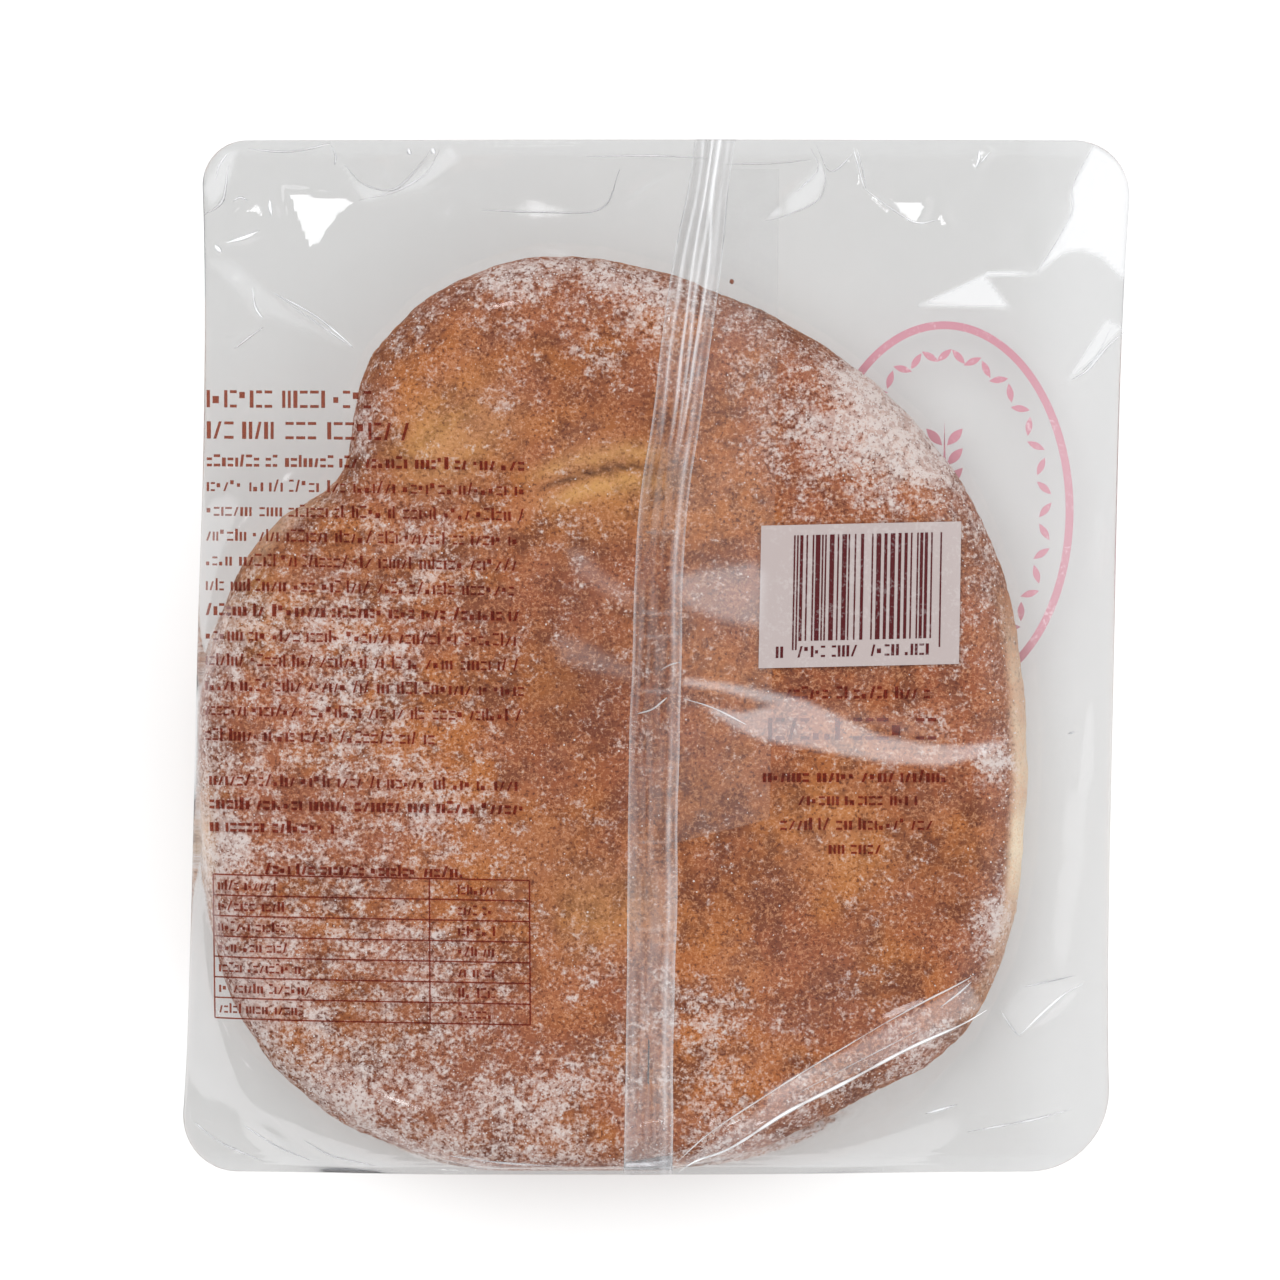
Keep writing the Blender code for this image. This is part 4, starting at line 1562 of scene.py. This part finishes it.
def band(centre, radii, width, start=0.0, turn=2 * math.pi, segments=12):
    """A curved stroke inside an oval's line, from one bearing on through a turn."""
    points = []
    for number in range(segments + 1):
        bearing = start + turn * number / segments
        for inset in (width, 0.0):
            x = centre[0] + (radii[0] - inset) * math.cos(bearing)
            y = centre[1] + (radii[1] - inset) * math.sin(bearing)
            points.append((x, y, 0.0))
    faces = []
    for number in range(segments):
        here = 2 * number
        faces.append((here, here + 1, here + 3, here + 2))
    return points, faces


def slanted(parts, about, slope, lean_right):
    """The same flat shapes with rows that rise by a slope, and uprights that lean to the right."""
    moved_parts = []
    for points, faces in parts:
        moved = []
        for x, y, z in points:
            x, y = x - about[0], y - about[1]
            moved.append((about[0] + x + y * lean_right, about[1] + y + x * slope, z))
        moved_parts.append((moved, faces))
    return moved_parts


def flat_mesh(name, parts):
    """One flat mesh out of several lists of points and faces."""
    points, faces = [], []
    for part_points, part_faces in parts:
        base = len(points)
        points += part_points
        faces += [tuple(index + base for index in face) for face in part_faces]
    mesh = bpy.data.meshes.new(name)
    mesh.from_pydata(points, [], faces)
    mesh.update()
    return mesh


def laid_on_film(name, parts, material, lift, wall, direction=-1.0):
    """Drapes flat shapes over the film and gives them a thin wall."""
    inputs = {
        "Surface": bpy.data.objects["film"],
        "Direction": direction,
        "Lift": lift,
        "Material": material,
    }
    tree = bpy.data.node_groups.get("Drape") or draping_tree()
    piece = grown(name, flat_mesh(name, parts), tree, inputs, wall)
    finish_piece(piece, material)
    return piece


class Row(NamedTuple):
    """One printed row: its ends, its middle, its marks' height, their weight, the low ones' share."""

    left: float
    right: float
    middle: float
    height: float
    weight: float = 0.17
    low_share: float = 0.74


# Largest cells that still follow the film
PRINT_CELL = 0.0012
LABEL_CELL = 0.0010
TEXT_SLOPE = -0.019
TEXT_LEAN = -0.006
LEFT_COLUMN = (-0.0958, -0.0275)
BODY_ROWS_TOP = 0.0418
BODY_ROW_PITCH = 0.00530
BODY_ROWS = 11
BOLD_ROWS = (0, 6)
BODY_HEIGHT = 0.0026
LEFT_ROWS = (
    Row(-0.0958, -0.0600, 0.0550, 0.0037, 0.17, 1.0),
    Row(-0.0958, -0.0510, 0.0483, 0.0037, 0.17, 1.0),
    *(
        Row(
            *LEFT_COLUMN,
            BODY_ROWS_TOP - BODY_ROW_PITCH * number,
            BODY_HEIGHT,
            0.23 if number in BOLD_ROWS else 0.16,
        )
        for number in range(BODY_ROWS)
    ),
    Row(-0.0958, -0.0470, BODY_ROWS_TOP - BODY_ROW_PITCH * BODY_ROWS, BODY_HEIGHT),
    Row(-0.0950, -0.0275, -0.0260, BODY_HEIGHT),
    Row(-0.0950, -0.0275, -0.0310, BODY_HEIGHT, 0.23),
    Row(-0.0950, -0.0670, -0.0358, BODY_HEIGHT, 0.23),
    Row(-0.0832, -0.0405, -0.0447, 0.0024, 0.24),
)
RIGHT_ROWS = (
    Row(0.0272, 0.0580, -0.0077, BODY_HEIGHT, 0.21),
    Row(0.0236, 0.0622, -0.0154, 0.0046, 0.16, 1.0),
    Row(0.0225, 0.0634, -0.0254, BODY_HEIGHT, 0.23),
    Row(0.0300, 0.0560, -0.0303, BODY_HEIGHT, 0.18),
    Row(0.0262, 0.0592, -0.0355, BODY_HEIGHT, 0.18),
    Row(0.0364, 0.0484, -0.0406, BODY_HEIGHT, 0.18),
)
TABLE_BOX = (-0.0943, -0.0768, -0.0272, -0.0462)
TABLE_ROWS = 7
TABLE_DIVIDER = -0.0484
TABLE_LINE = 0.00032
LABEL_BOX = (0.0216, -0.0026, 0.0640, 0.0276)
LABEL_SLOPE = 0.022
LABEL_LEAN = 0.019
BARS_BOX = (0.0286, 0.0030, 0.0600, 0.0254)
BAR_MODULE = 0.00033
GUARD_DROP = 0.0019


def slanting_stroke(x, low, width, height, stroke):
    """A straight stroke that leans across its width, cut so that it follows the film."""
    steps = 3
    points = []
    for number in range(steps + 1):
        share = number / steps
        left = x + (width - stroke) * share
        points.append((left, low + height * share, 0.0))
        points.append((left + stroke, low + height * share, 0.0))
    faces = [(2 * number, 2 * number + 1, 2 * number + 3, 2 * number + 2) for number in range(steps)]
    return points, faces


def row_of_marks(row, draws):
    """A printed row as plain strokes that are no letters: posts, dashes, blocks and slants."""
    parts = []
    stroke = row.height * row.weight
    low = row.middle - row.height / 2
    x = row.left
    while x < row.right - row.height * 0.5:
        for _mark in range(int(draws.integers(2, 9))):
            width = row.height * draws.uniform(0.34, 0.56)
            if x + width > row.right:
                break
            height = row.height * (1.0 if draws.random() < 0.22 else row.low_share)
            form = draws.random()
            if form < 0.40:
                width = stroke * draws.uniform(1.0, 1.5)
                boxes = ((x, low, x + width, low + height),)
            elif form < 0.66:
                boxes = (
                    (x, low, x + width, low + stroke),
                    (x, low + height - stroke, x + width, low + height),
                )
            elif form < 0.84:
                foot = low + (height - width) * draws.choice((0.0, 0.5, 1.0))
                boxes = ((x, foot, x + width * 0.7, foot + width * 0.8),)
            else:
                boxes = ()
                parts.append(slanting_stroke(x, low, width, height, stroke))
            if boxes:
                parts.append(patches(boxes, PRINT_CELL))
            x += width + row.height * 0.15
        x += row.height * draws.uniform(0.32, 0.55)
    return parts


def table_lines():
    """The ruled lines of a table with two columns."""
    left, bottom, right, top = TABLE_BOX
    boxes = []
    for number in range(TABLE_ROWS + 1):
        y = bottom + (top - bottom) * number / TABLE_ROWS
        boxes.append((left, y - TABLE_LINE / 2, right, y + TABLE_LINE / 2))
    for x in (left, TABLE_DIVIDER, right):
        boxes.append((x - TABLE_LINE / 2, bottom, x + TABLE_LINE / 2, top))
    return boxes


def table_marks(draws):
    """A group of marks in each cell of the table."""
    left, bottom, _right, top = TABLE_BOX
    parts = []
    for number in range(TABLE_ROWS):
        middle = bottom + (top - bottom) * (number + 0.5) / TABLE_ROWS
        name_end = left + draws.uniform(0.012, 0.024)
        parts += row_of_marks(Row(left + 0.001, name_end, middle, 0.0021, 0.18), draws)
        value = TABLE_DIVIDER + 0.0060
        parts += row_of_marks(Row(value, value + 0.0085, middle, 0.0021, 0.18), draws)
    return parts


def bar_boxes(draws):
    """Upright bars of one to four modules, with longer guard bars at both ends and the middle."""
    left, bottom, right, top = BARS_BOX
    modules = round((right - left) / BAR_MODULE)
    guards = {0, 2, modules // 2 - 1, modules // 2 + 1, modules - 3, modules - 1}
    boxes = []
    module = 0
    while module < modules:
        if module in guards:
            width, drop = 1, GUARD_DROP
        else:
            width, drop = int(draws.choice((1, 1, 1, 2, 2, 3))), 0.0
            width = min([width] + [guard - module - 1 for guard in guards if guard > module])
        if width > 0:
            x = left + module * BAR_MODULE
            boxes.append((x, bottom - drop, x + width * BAR_MODULE, top))
        gap = 1 if module in guards else int(draws.choice((1, 1, 2, 2, 3)))
        module += max(width, 1) + gap
    return boxes


def make_brown_print():
    """The printed rows and the ruled table in brown ink on the back film."""
    ink = settings().print
    draws = np.random.default_rng(7)
    left_parts = [part for row in LEFT_ROWS for part in row_of_marks(row, draws)]
    left_parts += [patches(table_lines(), PRINT_CELL)] + table_marks(draws)
    right_parts = [part for row in RIGHT_ROWS for part in row_of_marks(row, draws)]
    parts = slanted(left_parts, (LEFT_COLUMN[0], 0.0), TEXT_SLOPE, TEXT_LEAN) + right_parts
    material = ink_material("brown_ink", ink.brown, 0.10, 0.10, ink.brown_passed)
    laid_on_film("brown_print", parts, material, -ink.depth, ink.thickness)


def make_label():
    """The white field with its bars: a white patch, dark bars on it and a row of marks."""
    ink = settings().print
    draws = np.random.default_rng(19)
    corner = LABEL_BOX[:2]
    field = ink_material("white_ink", ink.label, 0.08, 0.3)
    parts = slanted([patches((LABEL_BOX,), LABEL_CELL)], corner, LABEL_SLOPE, LABEL_LEAN)
    laid_on_film("label_field", parts, field, -ink.depth - 2 * ink.thickness, ink.thickness)
    left, bottom, right, _top = BARS_BOX
    middle = bottom - GUARD_DROP - 0.0004
    centre = (left + right) / 2
    parts = [patches(bar_boxes(draws), LABEL_CELL)]
    stretches = (
        (left - 0.0034, left - 0.0010),
        (left + 0.0012, centre - 0.0008),
        (centre + 0.0010, right - 0.0008),
    )
    for start, end in stretches:
        parts += row_of_marks(Row(start, end, middle, 0.0024, 0.18, 1.0), draws)
    parts = slanted(parts, corner, LABEL_SLOPE, LABEL_LEAN)
    bars = ink_material("bar_ink", ink.bars, 0.12, 0.25)
    laid_on_film("label_bars", parts, bars, -ink.depth, ink.thickness)


# The pink print on the front film, seen through the bag

OVAL_CENTRE = (0.0616, 0.0312)
OVAL_RADII = (0.0276, 0.0404)
OVAL_LINE = 0.0017
OVAL_SEGMENTS = 180
WREATH_LEAVES = 44
SPRIG_PAIRS = 9
SPRIG_PITCH = 0.0042


def leaf(x, y, length, width, heading):
    """A pointed leaf, as points and faces."""
    outline = []
    steps = 6
    for number in range(2 * steps):
        along = number / steps if number <= steps else 2 - number / steps
        side = 1 if number <= steps else -1
        across = side * width / 2 * math.sin(math.pi * along)
        forward = (along - 0.5) * length
        outline.append(
            (
                x + forward * math.cos(heading) - across * math.sin(heading),
                y + forward * math.sin(heading) + across * math.cos(heading),
                0.0,
            )
        )
    return outline, [tuple(range(len(outline)))[::-1]]


def make_pink_print():
    """A plain oval with a wreath of leaves and a sprig, in pink ink inside the front film."""
    ink = settings().print
    parts = [band(OVAL_CENTRE, OVAL_RADII, OVAL_LINE, segments=OVAL_SEGMENTS)]
    for number in range(WREATH_LEAVES):
        turn = 2 * math.pi * number / WREATH_LEAVES
        x = OVAL_CENTRE[0] + OVAL_RADII[0] * 0.78 * math.cos(turn)
        y = OVAL_CENTRE[1] + OVAL_RADII[1] * 0.82 * math.sin(turn)
        heading = turn + math.pi / 2 + (0.7 if number % 2 else -0.7)
        parts.append(leaf(x, y, 0.0042, 0.0015, heading))
    for number in range(SPRIG_PAIRS):
        y = OVAL_CENTRE[1] - 0.018 + SPRIG_PITCH * number
        for side in (-1, 1):
            heading = math.pi / 2 - side * 0.75
            parts.append(leaf(OVAL_CENTRE[0] + side * 0.0022, y, 0.0050, 0.0020, heading))
    parts.append(leaf(OVAL_CENTRE[0], OVAL_CENTRE[1] - 0.004, 0.0460, 0.0009, math.pi / 2))
    material = ink_material("pink_ink", ink.pink, 0.30, 0.20)
    laid_on_film("pink_print", parts, material, 0.00012, ink.thickness, direction=1.0)


# The seam's inner lap

LAP_RIGHT = (0.0262, 0.0240)
LAP_BOTTOM = (-0.0395, -0.0345)
LAP_TOP = 0.1040
LAP_ROWS = 150
LAP_COLUMNS = 24
LAP_DEPTH = 0.00024
LAP_WALL = 0.00004


def make_seam_lap():
    """The free edge of film behind the seam, seen as a faint veil to the right of it."""
    film = settings().film
    points = []
    for row in range(LAP_ROWS + 1):
        share = row / LAP_ROWS
        for column in range(LAP_COLUMNS + 1):
            out = column / LAP_COLUMNS
            bottom = LAP_BOTTOM[0] + (LAP_BOTTOM[1] - LAP_BOTTOM[0]) * out
            y = bottom + (LAP_TOP - bottom) * share
            right = LAP_RIGHT[1] + (LAP_RIGHT[0] - LAP_RIGHT[1]) * share
            here = np.array([y])
            left = float((seam_centre(here) + seam_half_width(here))[0])
            points.append((left + (right - left) * out, y, 0.0))
    parts = ((points, net_faces(LAP_ROWS + 1, LAP_COLUMNS + 1)),)
    material = film_material("lap_film", film.lap_tint, film.lap_haze, film.lap_gloss, 70.0)
    laid_on_film("seam_lap", parts, material, -LAP_DEPTH, LAP_WALL)


# The stage

SHEETS_CROSSED = 24
TABLE_HALF = 1.5
TABLE_LEVEL = -0.0002
LAMP_DISTANCE = 1.5


def aim(lamp, target):
    """Turns a lamp to face a point."""
    direction = Vector(target) - lamp.location
    lamp.rotation_euler = direction.to_track_quat("-Z", "Y").to_euler()


def add_lamp(name, place, size, power, seen_in_film):
    """A square lamp. Some only light the bun, and some are only seen mirrored in the film."""
    data = bpy.data.lights.new(name, "AREA")
    data.shape = "SQUARE"
    data.size = size
    data.energy = power
    lamp = placed(name, data)
    lamp.location = place
    aim(lamp, (0.0, 0.0, 0.02))
    lamp.visible_glossy = seen_in_film
    lamp.visible_diffuse = not seen_in_film
    lamp.visible_camera = False


def add_card(name, card, glow):
    """A card that shines evenly with this radiance."""
    power = glow * math.pi * CARD_SIZE**2
    add_lamp(name, on_dome(card.azimuth, card.zenith, CARD_DISTANCE), CARD_SIZE, power, True)


def add_world(stage):
    """White to the camera, and a dim even glow to everything else."""
    world = bpy.data.worlds.new("studio")
    world.use_nodes = True
    wires = Wiring(world.node_tree)
    wires.tree.nodes.clear()
    rays = wires.add("ShaderNodeLightPath")
    heading = wires.add("ShaderNodeTexCoord").outputs["Generated"]
    sideways = wires.add("ShaderNodeSeparateXYZ", {"Vector": heading}).outputs[0]
    brightness = wires.range(sideways, -0.1, 0.8, stage.mirrored_glow, stage.mirrored_glow_right)
    seen, mirrored, glow = (
        wires.add("ShaderNodeBackground", {"Color": (1.0, 1.0, 1.0, 1.0), "Strength": strength})
        for strength in (1.0, brightness, stage.ambient_glow)
    )
    unseen = wires.mixed(rays.outputs["Is Glossy Ray"], glow, mirrored)
    mixed = wires.mixed(rays.outputs["Is Camera Ray"], unseen, seen)
    output = wires.add("ShaderNodeOutputWorld")
    wires.put(output.inputs["Surface"], mixed.outputs[0])
    bpy.context.scene.world = world


def add_floor():
    """A white table top, well past the camera's view."""
    half = TABLE_HALF
    points = [(x, y, TABLE_LEVEL) for x, y in ((-half, -half), (half, -half), (half, half), (-half, half))]
    floor = mesh_object("table_top", points, [(0, 1, 2, 3)], smooth=False)
    floor.data.materials.append(floor_material())


def add_camera(stage):
    """A long lens looking straight down on the bag."""
    data = bpy.data.cameras.new("overhead")
    data.sensor_width = 36.0
    data.lens = data.sensor_width * (stage.camera_height - RIM_HEIGHT) / stage.view_width
    data.clip_end = 10.0
    camera = placed("overhead", data)
    camera.location = (stage.view_centre[0], stage.view_centre[1], stage.camera_height)
    bpy.context.scene.camera = camera


def make_stage():
    """The white table, the soft lamps, the glow and the camera."""
    stage = settings().stage
    add_floor()
    add_world(stage)
    add_lamp("soft_overhead", on_dome(120, 28, LAMP_DISTANCE), 1.1, stage.overhead_power, False)
    add_lamp("soft_side", on_dome(-35, 48, LAMP_DISTANCE), 1.0, stage.side_power, False)
    for name, card in CARDS.items():
        add_card("card_" + name, card, stage.card_glow)
    add_camera(stage)
    bpy.context.scene.view_settings.view_transform = "Standard"
    bpy.context.scene.cycles.transparent_max_bounces = SHEETS_CROSSED


# The add-on's settings, operators and panel


def colour(name, description, *default):
    return bpy.props.FloatVectorProperty(
        name=name, description=description, size=3, subtype="COLOR", default=default
    )


def amount(name, description, default, **kind):
    return bpy.props.FloatProperty(name=name, description=description, default=default, **kind)


def length(name, description, default):
    return amount(name, description, default, unit="LENGTH")


def power(name, description, default):
    return amount(name, description, default, unit="POWER")


def share(name, description, default):
    return amount(name, description, default, subtype="FACTOR")


class BUN_PG_bun(bpy.types.PropertyGroup):
    """The bun's crust."""

    crust_brown: colour("Brown", "Main colour of the crust", 0.290, 0.068, 0.018)
    crust_orange: colour("Orange", "Crust where it baked less", 0.430, 0.140, 0.032)
    # Also the colour that the painted shade round the shoulder darkens the crust to
    crust_dark: colour("Dark", "Crust where it baked most", 0.105, 0.024, 0.012)
    crust_fleck: colour("Flecks", "Pale flecks in the crust's grain", 0.68, 0.335, 0.175)
    crust_gold: colour("Gold", "Golden patches", 0.58, 0.31, 0.10)
    crust_rosy: colour("Rosy", "Crust with sugar melted into it", 0.39, 0.150, 0.083)
    side_pale: colour("Pale side", "Side of the bun that the oven didn't brown", 0.80, 0.66, 0.48)
    grain_contrast: share("Grain contrast", "Strength of the crust's fine grain", 0.80)
    crumb_relief: length("Crumb relief", "Height of the crust's fine relief", 0.00010)
    crease_depth: length("Crease depth", "Depth of the crease that shows in the base", 0.0012)


class BUN_PG_sugar(bpy.types.PropertyGroup):
    """The icing sugar."""

    colour: colour("Colour", "Colour of the icing sugar", 0.68, 0.605, 0.58)
    opacity: share("Opacity", "How fully the rubbed-in sugar hides the crust", 0.86)
    cover: share("Cover", "How much of the crust has sugar on it", 0.5)
    lumps_per_square_metre: amount("Lumps", "Sugar lumps for each square metre of thick sugar", 900000.0)
    smallest_lump: length("Smallest lump", "Radius of the smallest lump", 0.00008)
    largest_lump: length("Largest lump", "Radius of the largest lump", 0.00026)


class BUN_PG_film(bpy.types.PropertyGroup):
    """The film of the bag and of its seam."""

    tint: colour("Tint", "Light let through by one sheet", 0.834, 0.834, 0.832)
    seam_tint: colour("Seam tint", "Light let through by one wall of the seam", 0.928, 0.926, 0.924)
    lap_tint: colour("Lap tint", "Light let through by one wall of the inner lap", 0.975, 0.975, 0.975)
    seam_gloss: amount("Seam gloss", "Mirrored share of each wall of the fin seam", 0.9)
    lap_gloss: amount("Lap gloss", "Mirrored share of each wall of the inner lap", 0.3)
    haze: share("Haze", "White veil of the film", 0.001)
    gloss: amount("Gloss", "Mirrored share against that of one clean surface", 1.9)
    # Scales the painted reflections
    veil_strength: share("Veils", "Whiteness of the film's veils against those named", 1.0)
    # Scales the highlights painted along the folds
    fold_strength: share("Folds", "Whiteness of the sharp folds against those named", 1.0)
    seam_haze: share("Seam haze", "White veil of each wall of the fin seam", 0.006)
    lap_haze: share("Lap haze", "White veil of each wall of the seam's inner lap", 0.020)
    roughness: share("Roughness", "How blurred the film's reflections are", 0.10)
    crease_rise: share("Crease rise", "Height of the creases against those named", 1.0)
    crinkle_depth: length("Crinkle depth", "Depth of the film's fine crinkles", 0.00009)


class BUN_PG_print(bpy.types.PropertyGroup):
    """The inks and how they lie on the film."""

    brown: colour("Brown ink", "Ink of the rows and the table", 0.12, 0.016, 0.006)
    brown_passed: colour(
        "Light through the brown ink", "Colour of the light that each face lets through", 0.78, 0.44, 0.35
    )
    bars: colour("Bar ink", "Ink of the bars", 0.085, 0.012, 0.014)
    pink: colour("Pink ink", "Ink of the oval on the front", 0.57, 0.275, 0.33)
    label: colour("White ink", "White field under the bars", 0.48, 0.41, 0.40)
    depth: length("Depth", "Gap between the film and the ink on its inner side", 0.00010)
    thickness: length("Thickness", "Thickness of a printed layer", 0.00003)


class BUN_PG_stage(bpy.types.PropertyGroup):
    """Table, lamps and camera."""

    overhead_power: power("Overhead", "Power of the soft overhead lamp", 11.0)
    side_power: power("Side", "Power of the soft side lamp", 4.5)
    card_glow: amount("Cards", "Radiance of each card mirrored in the film", 6.0)
    ambient_glow: amount("Ambient glow", "Even light from all round", 1.0)
    mirrored_glow: amount(
        "Mirrored glow", "Brightness of the room mirrored in the film, on the left", 0.07
    )
    mirrored_glow_right: amount(
        "Mirrored glow, right", "Brightness of the room mirrored in the film, on the right", 0.60
    )
    camera_height: length("Camera height", "Height of the camera over the table", 2.0)
    view_width: length("View width", "Width that the view takes in at the bag's rim", 0.2735)
    view_centre: bpy.props.FloatVectorProperty(
        name="View centre", description="Point under the camera", size=2, subtype="XYZ", unit="LENGTH",
        default=(-0.0035, 0.0034),
    )


class BUN_PG_settings(bpy.types.PropertyGroup):
    """All settings of the bagged bun."""

    bun: bpy.props.PointerProperty(type=BUN_PG_bun)
    sugar: bpy.props.PointerProperty(type=BUN_PG_sugar)
    film: bpy.props.PointerProperty(type=BUN_PG_film)
    print: bpy.props.PointerProperty(type=BUN_PG_print)
    stage: bpy.props.PointerProperty(type=BUN_PG_stage)


class BUN_OT_bun(bpy.types.Operator):
    """Make the coiled bun"""

    bl_idname = "bagged_bun.make_bun"
    bl_label = "Coiled Bun"

    def execute(self, context):
        make_bun()
        return {"FINISHED"}


class BUN_OT_sugar(bpy.types.Operator):
    """Scatter lumps of icing sugar over the bun"""

    bl_idname = "bagged_bun.make_sugar"
    bl_label = "Icing Sugar"

    def execute(self, context):
        make_sugar()
        return {"FINISHED"}


class BUN_OT_crumb(bpy.types.Operator):
    """Drop a loose crumb into the bag"""

    bl_idname = "bagged_bun.make_crumb"
    bl_label = "Loose Crumb"

    def execute(self, context):
        make_crumb()
        return {"FINISHED"}


class BUN_OT_film(bpy.types.Operator):
    """Make the bag's film round the bun"""

    bl_idname = "bagged_bun.make_film"
    bl_label = "Film"

    def execute(self, context):
        make_film()
        return {"FINISHED"}


class BUN_OT_folds(bpy.types.Operator):
    """Press sharp folds into the film"""

    bl_idname = "bagged_bun.make_folds"
    bl_label = "Film Folds"

    def execute(self, context):
        make_folds()
        return {"FINISHED"}


class BUN_OT_seam(bpy.types.Operator):
    """Make the fin seam up the back and its inner lap"""

    bl_idname = "bagged_bun.make_seam"
    bl_label = "Fin Seam"

    def execute(self, context):
        make_fin_seam()
        make_seam_lap()
        return {"FINISHED"}


class BUN_OT_print(bpy.types.Operator):
    """Print the back and the front of the film"""

    bl_idname = "bagged_bun.make_print"
    bl_label = "Print"

    def execute(self, context):
        make_brown_print()
        make_label()
        make_pink_print()
        return {"FINISHED"}


class BUN_OT_stage(bpy.types.Operator):
    """Set up the table, the lamps and the camera"""

    bl_idname = "bagged_bun.make_stage"
    bl_label = "Stage"

    def execute(self, context):
        make_stage()
        return {"FINISHED"}


OPERATORS = (
    BUN_OT_stage,
    BUN_OT_bun,
    BUN_OT_sugar,
    BUN_OT_film,
    BUN_OT_folds,
    BUN_OT_crumb,
    BUN_OT_seam,
    BUN_OT_print,
)


class BUN_PT_panel(bpy.types.Panel):
    """Lists the pieces in the order in which they are made"""

    bl_label = "Bagged Bun"
    bl_idname = "BUN_PT_panel"
    bl_space_type = "VIEW_3D"
    bl_region_type = "UI"
    bl_category = "Bagged Bun"

    def draw(self, context):
        for operator in OPERATORS:
            self.layout.operator(operator.bl_idname)


GROUPS = (BUN_PG_bun, BUN_PG_sugar, BUN_PG_film, BUN_PG_print, BUN_PG_stage, BUN_PG_settings)
CLASSES = GROUPS + OPERATORS + (BUN_PT_panel,)


def register():
    for entry in CLASSES:
        bpy.utils.register_class(entry)
    bpy.types.Scene.bagged_bun = bpy.props.PointerProperty(type=BUN_PG_settings)


def unregister():
    del bpy.types.Scene.bagged_bun
    for entry in reversed(CLASSES):
        bpy.utils.unregister_class(entry)


def main():
    register()
    bpy.ops.bagged_bun.make_stage()
    bpy.ops.bagged_bun.make_bun()
    bpy.ops.bagged_bun.make_sugar()
    bpy.ops.bagged_bun.make_film()
    bpy.ops.bagged_bun.make_folds()
    bpy.ops.bagged_bun.make_crumb()
    bpy.ops.bagged_bun.make_seam()
    bpy.ops.bagged_bun.make_print()


if __name__ == "__main__":
    main()
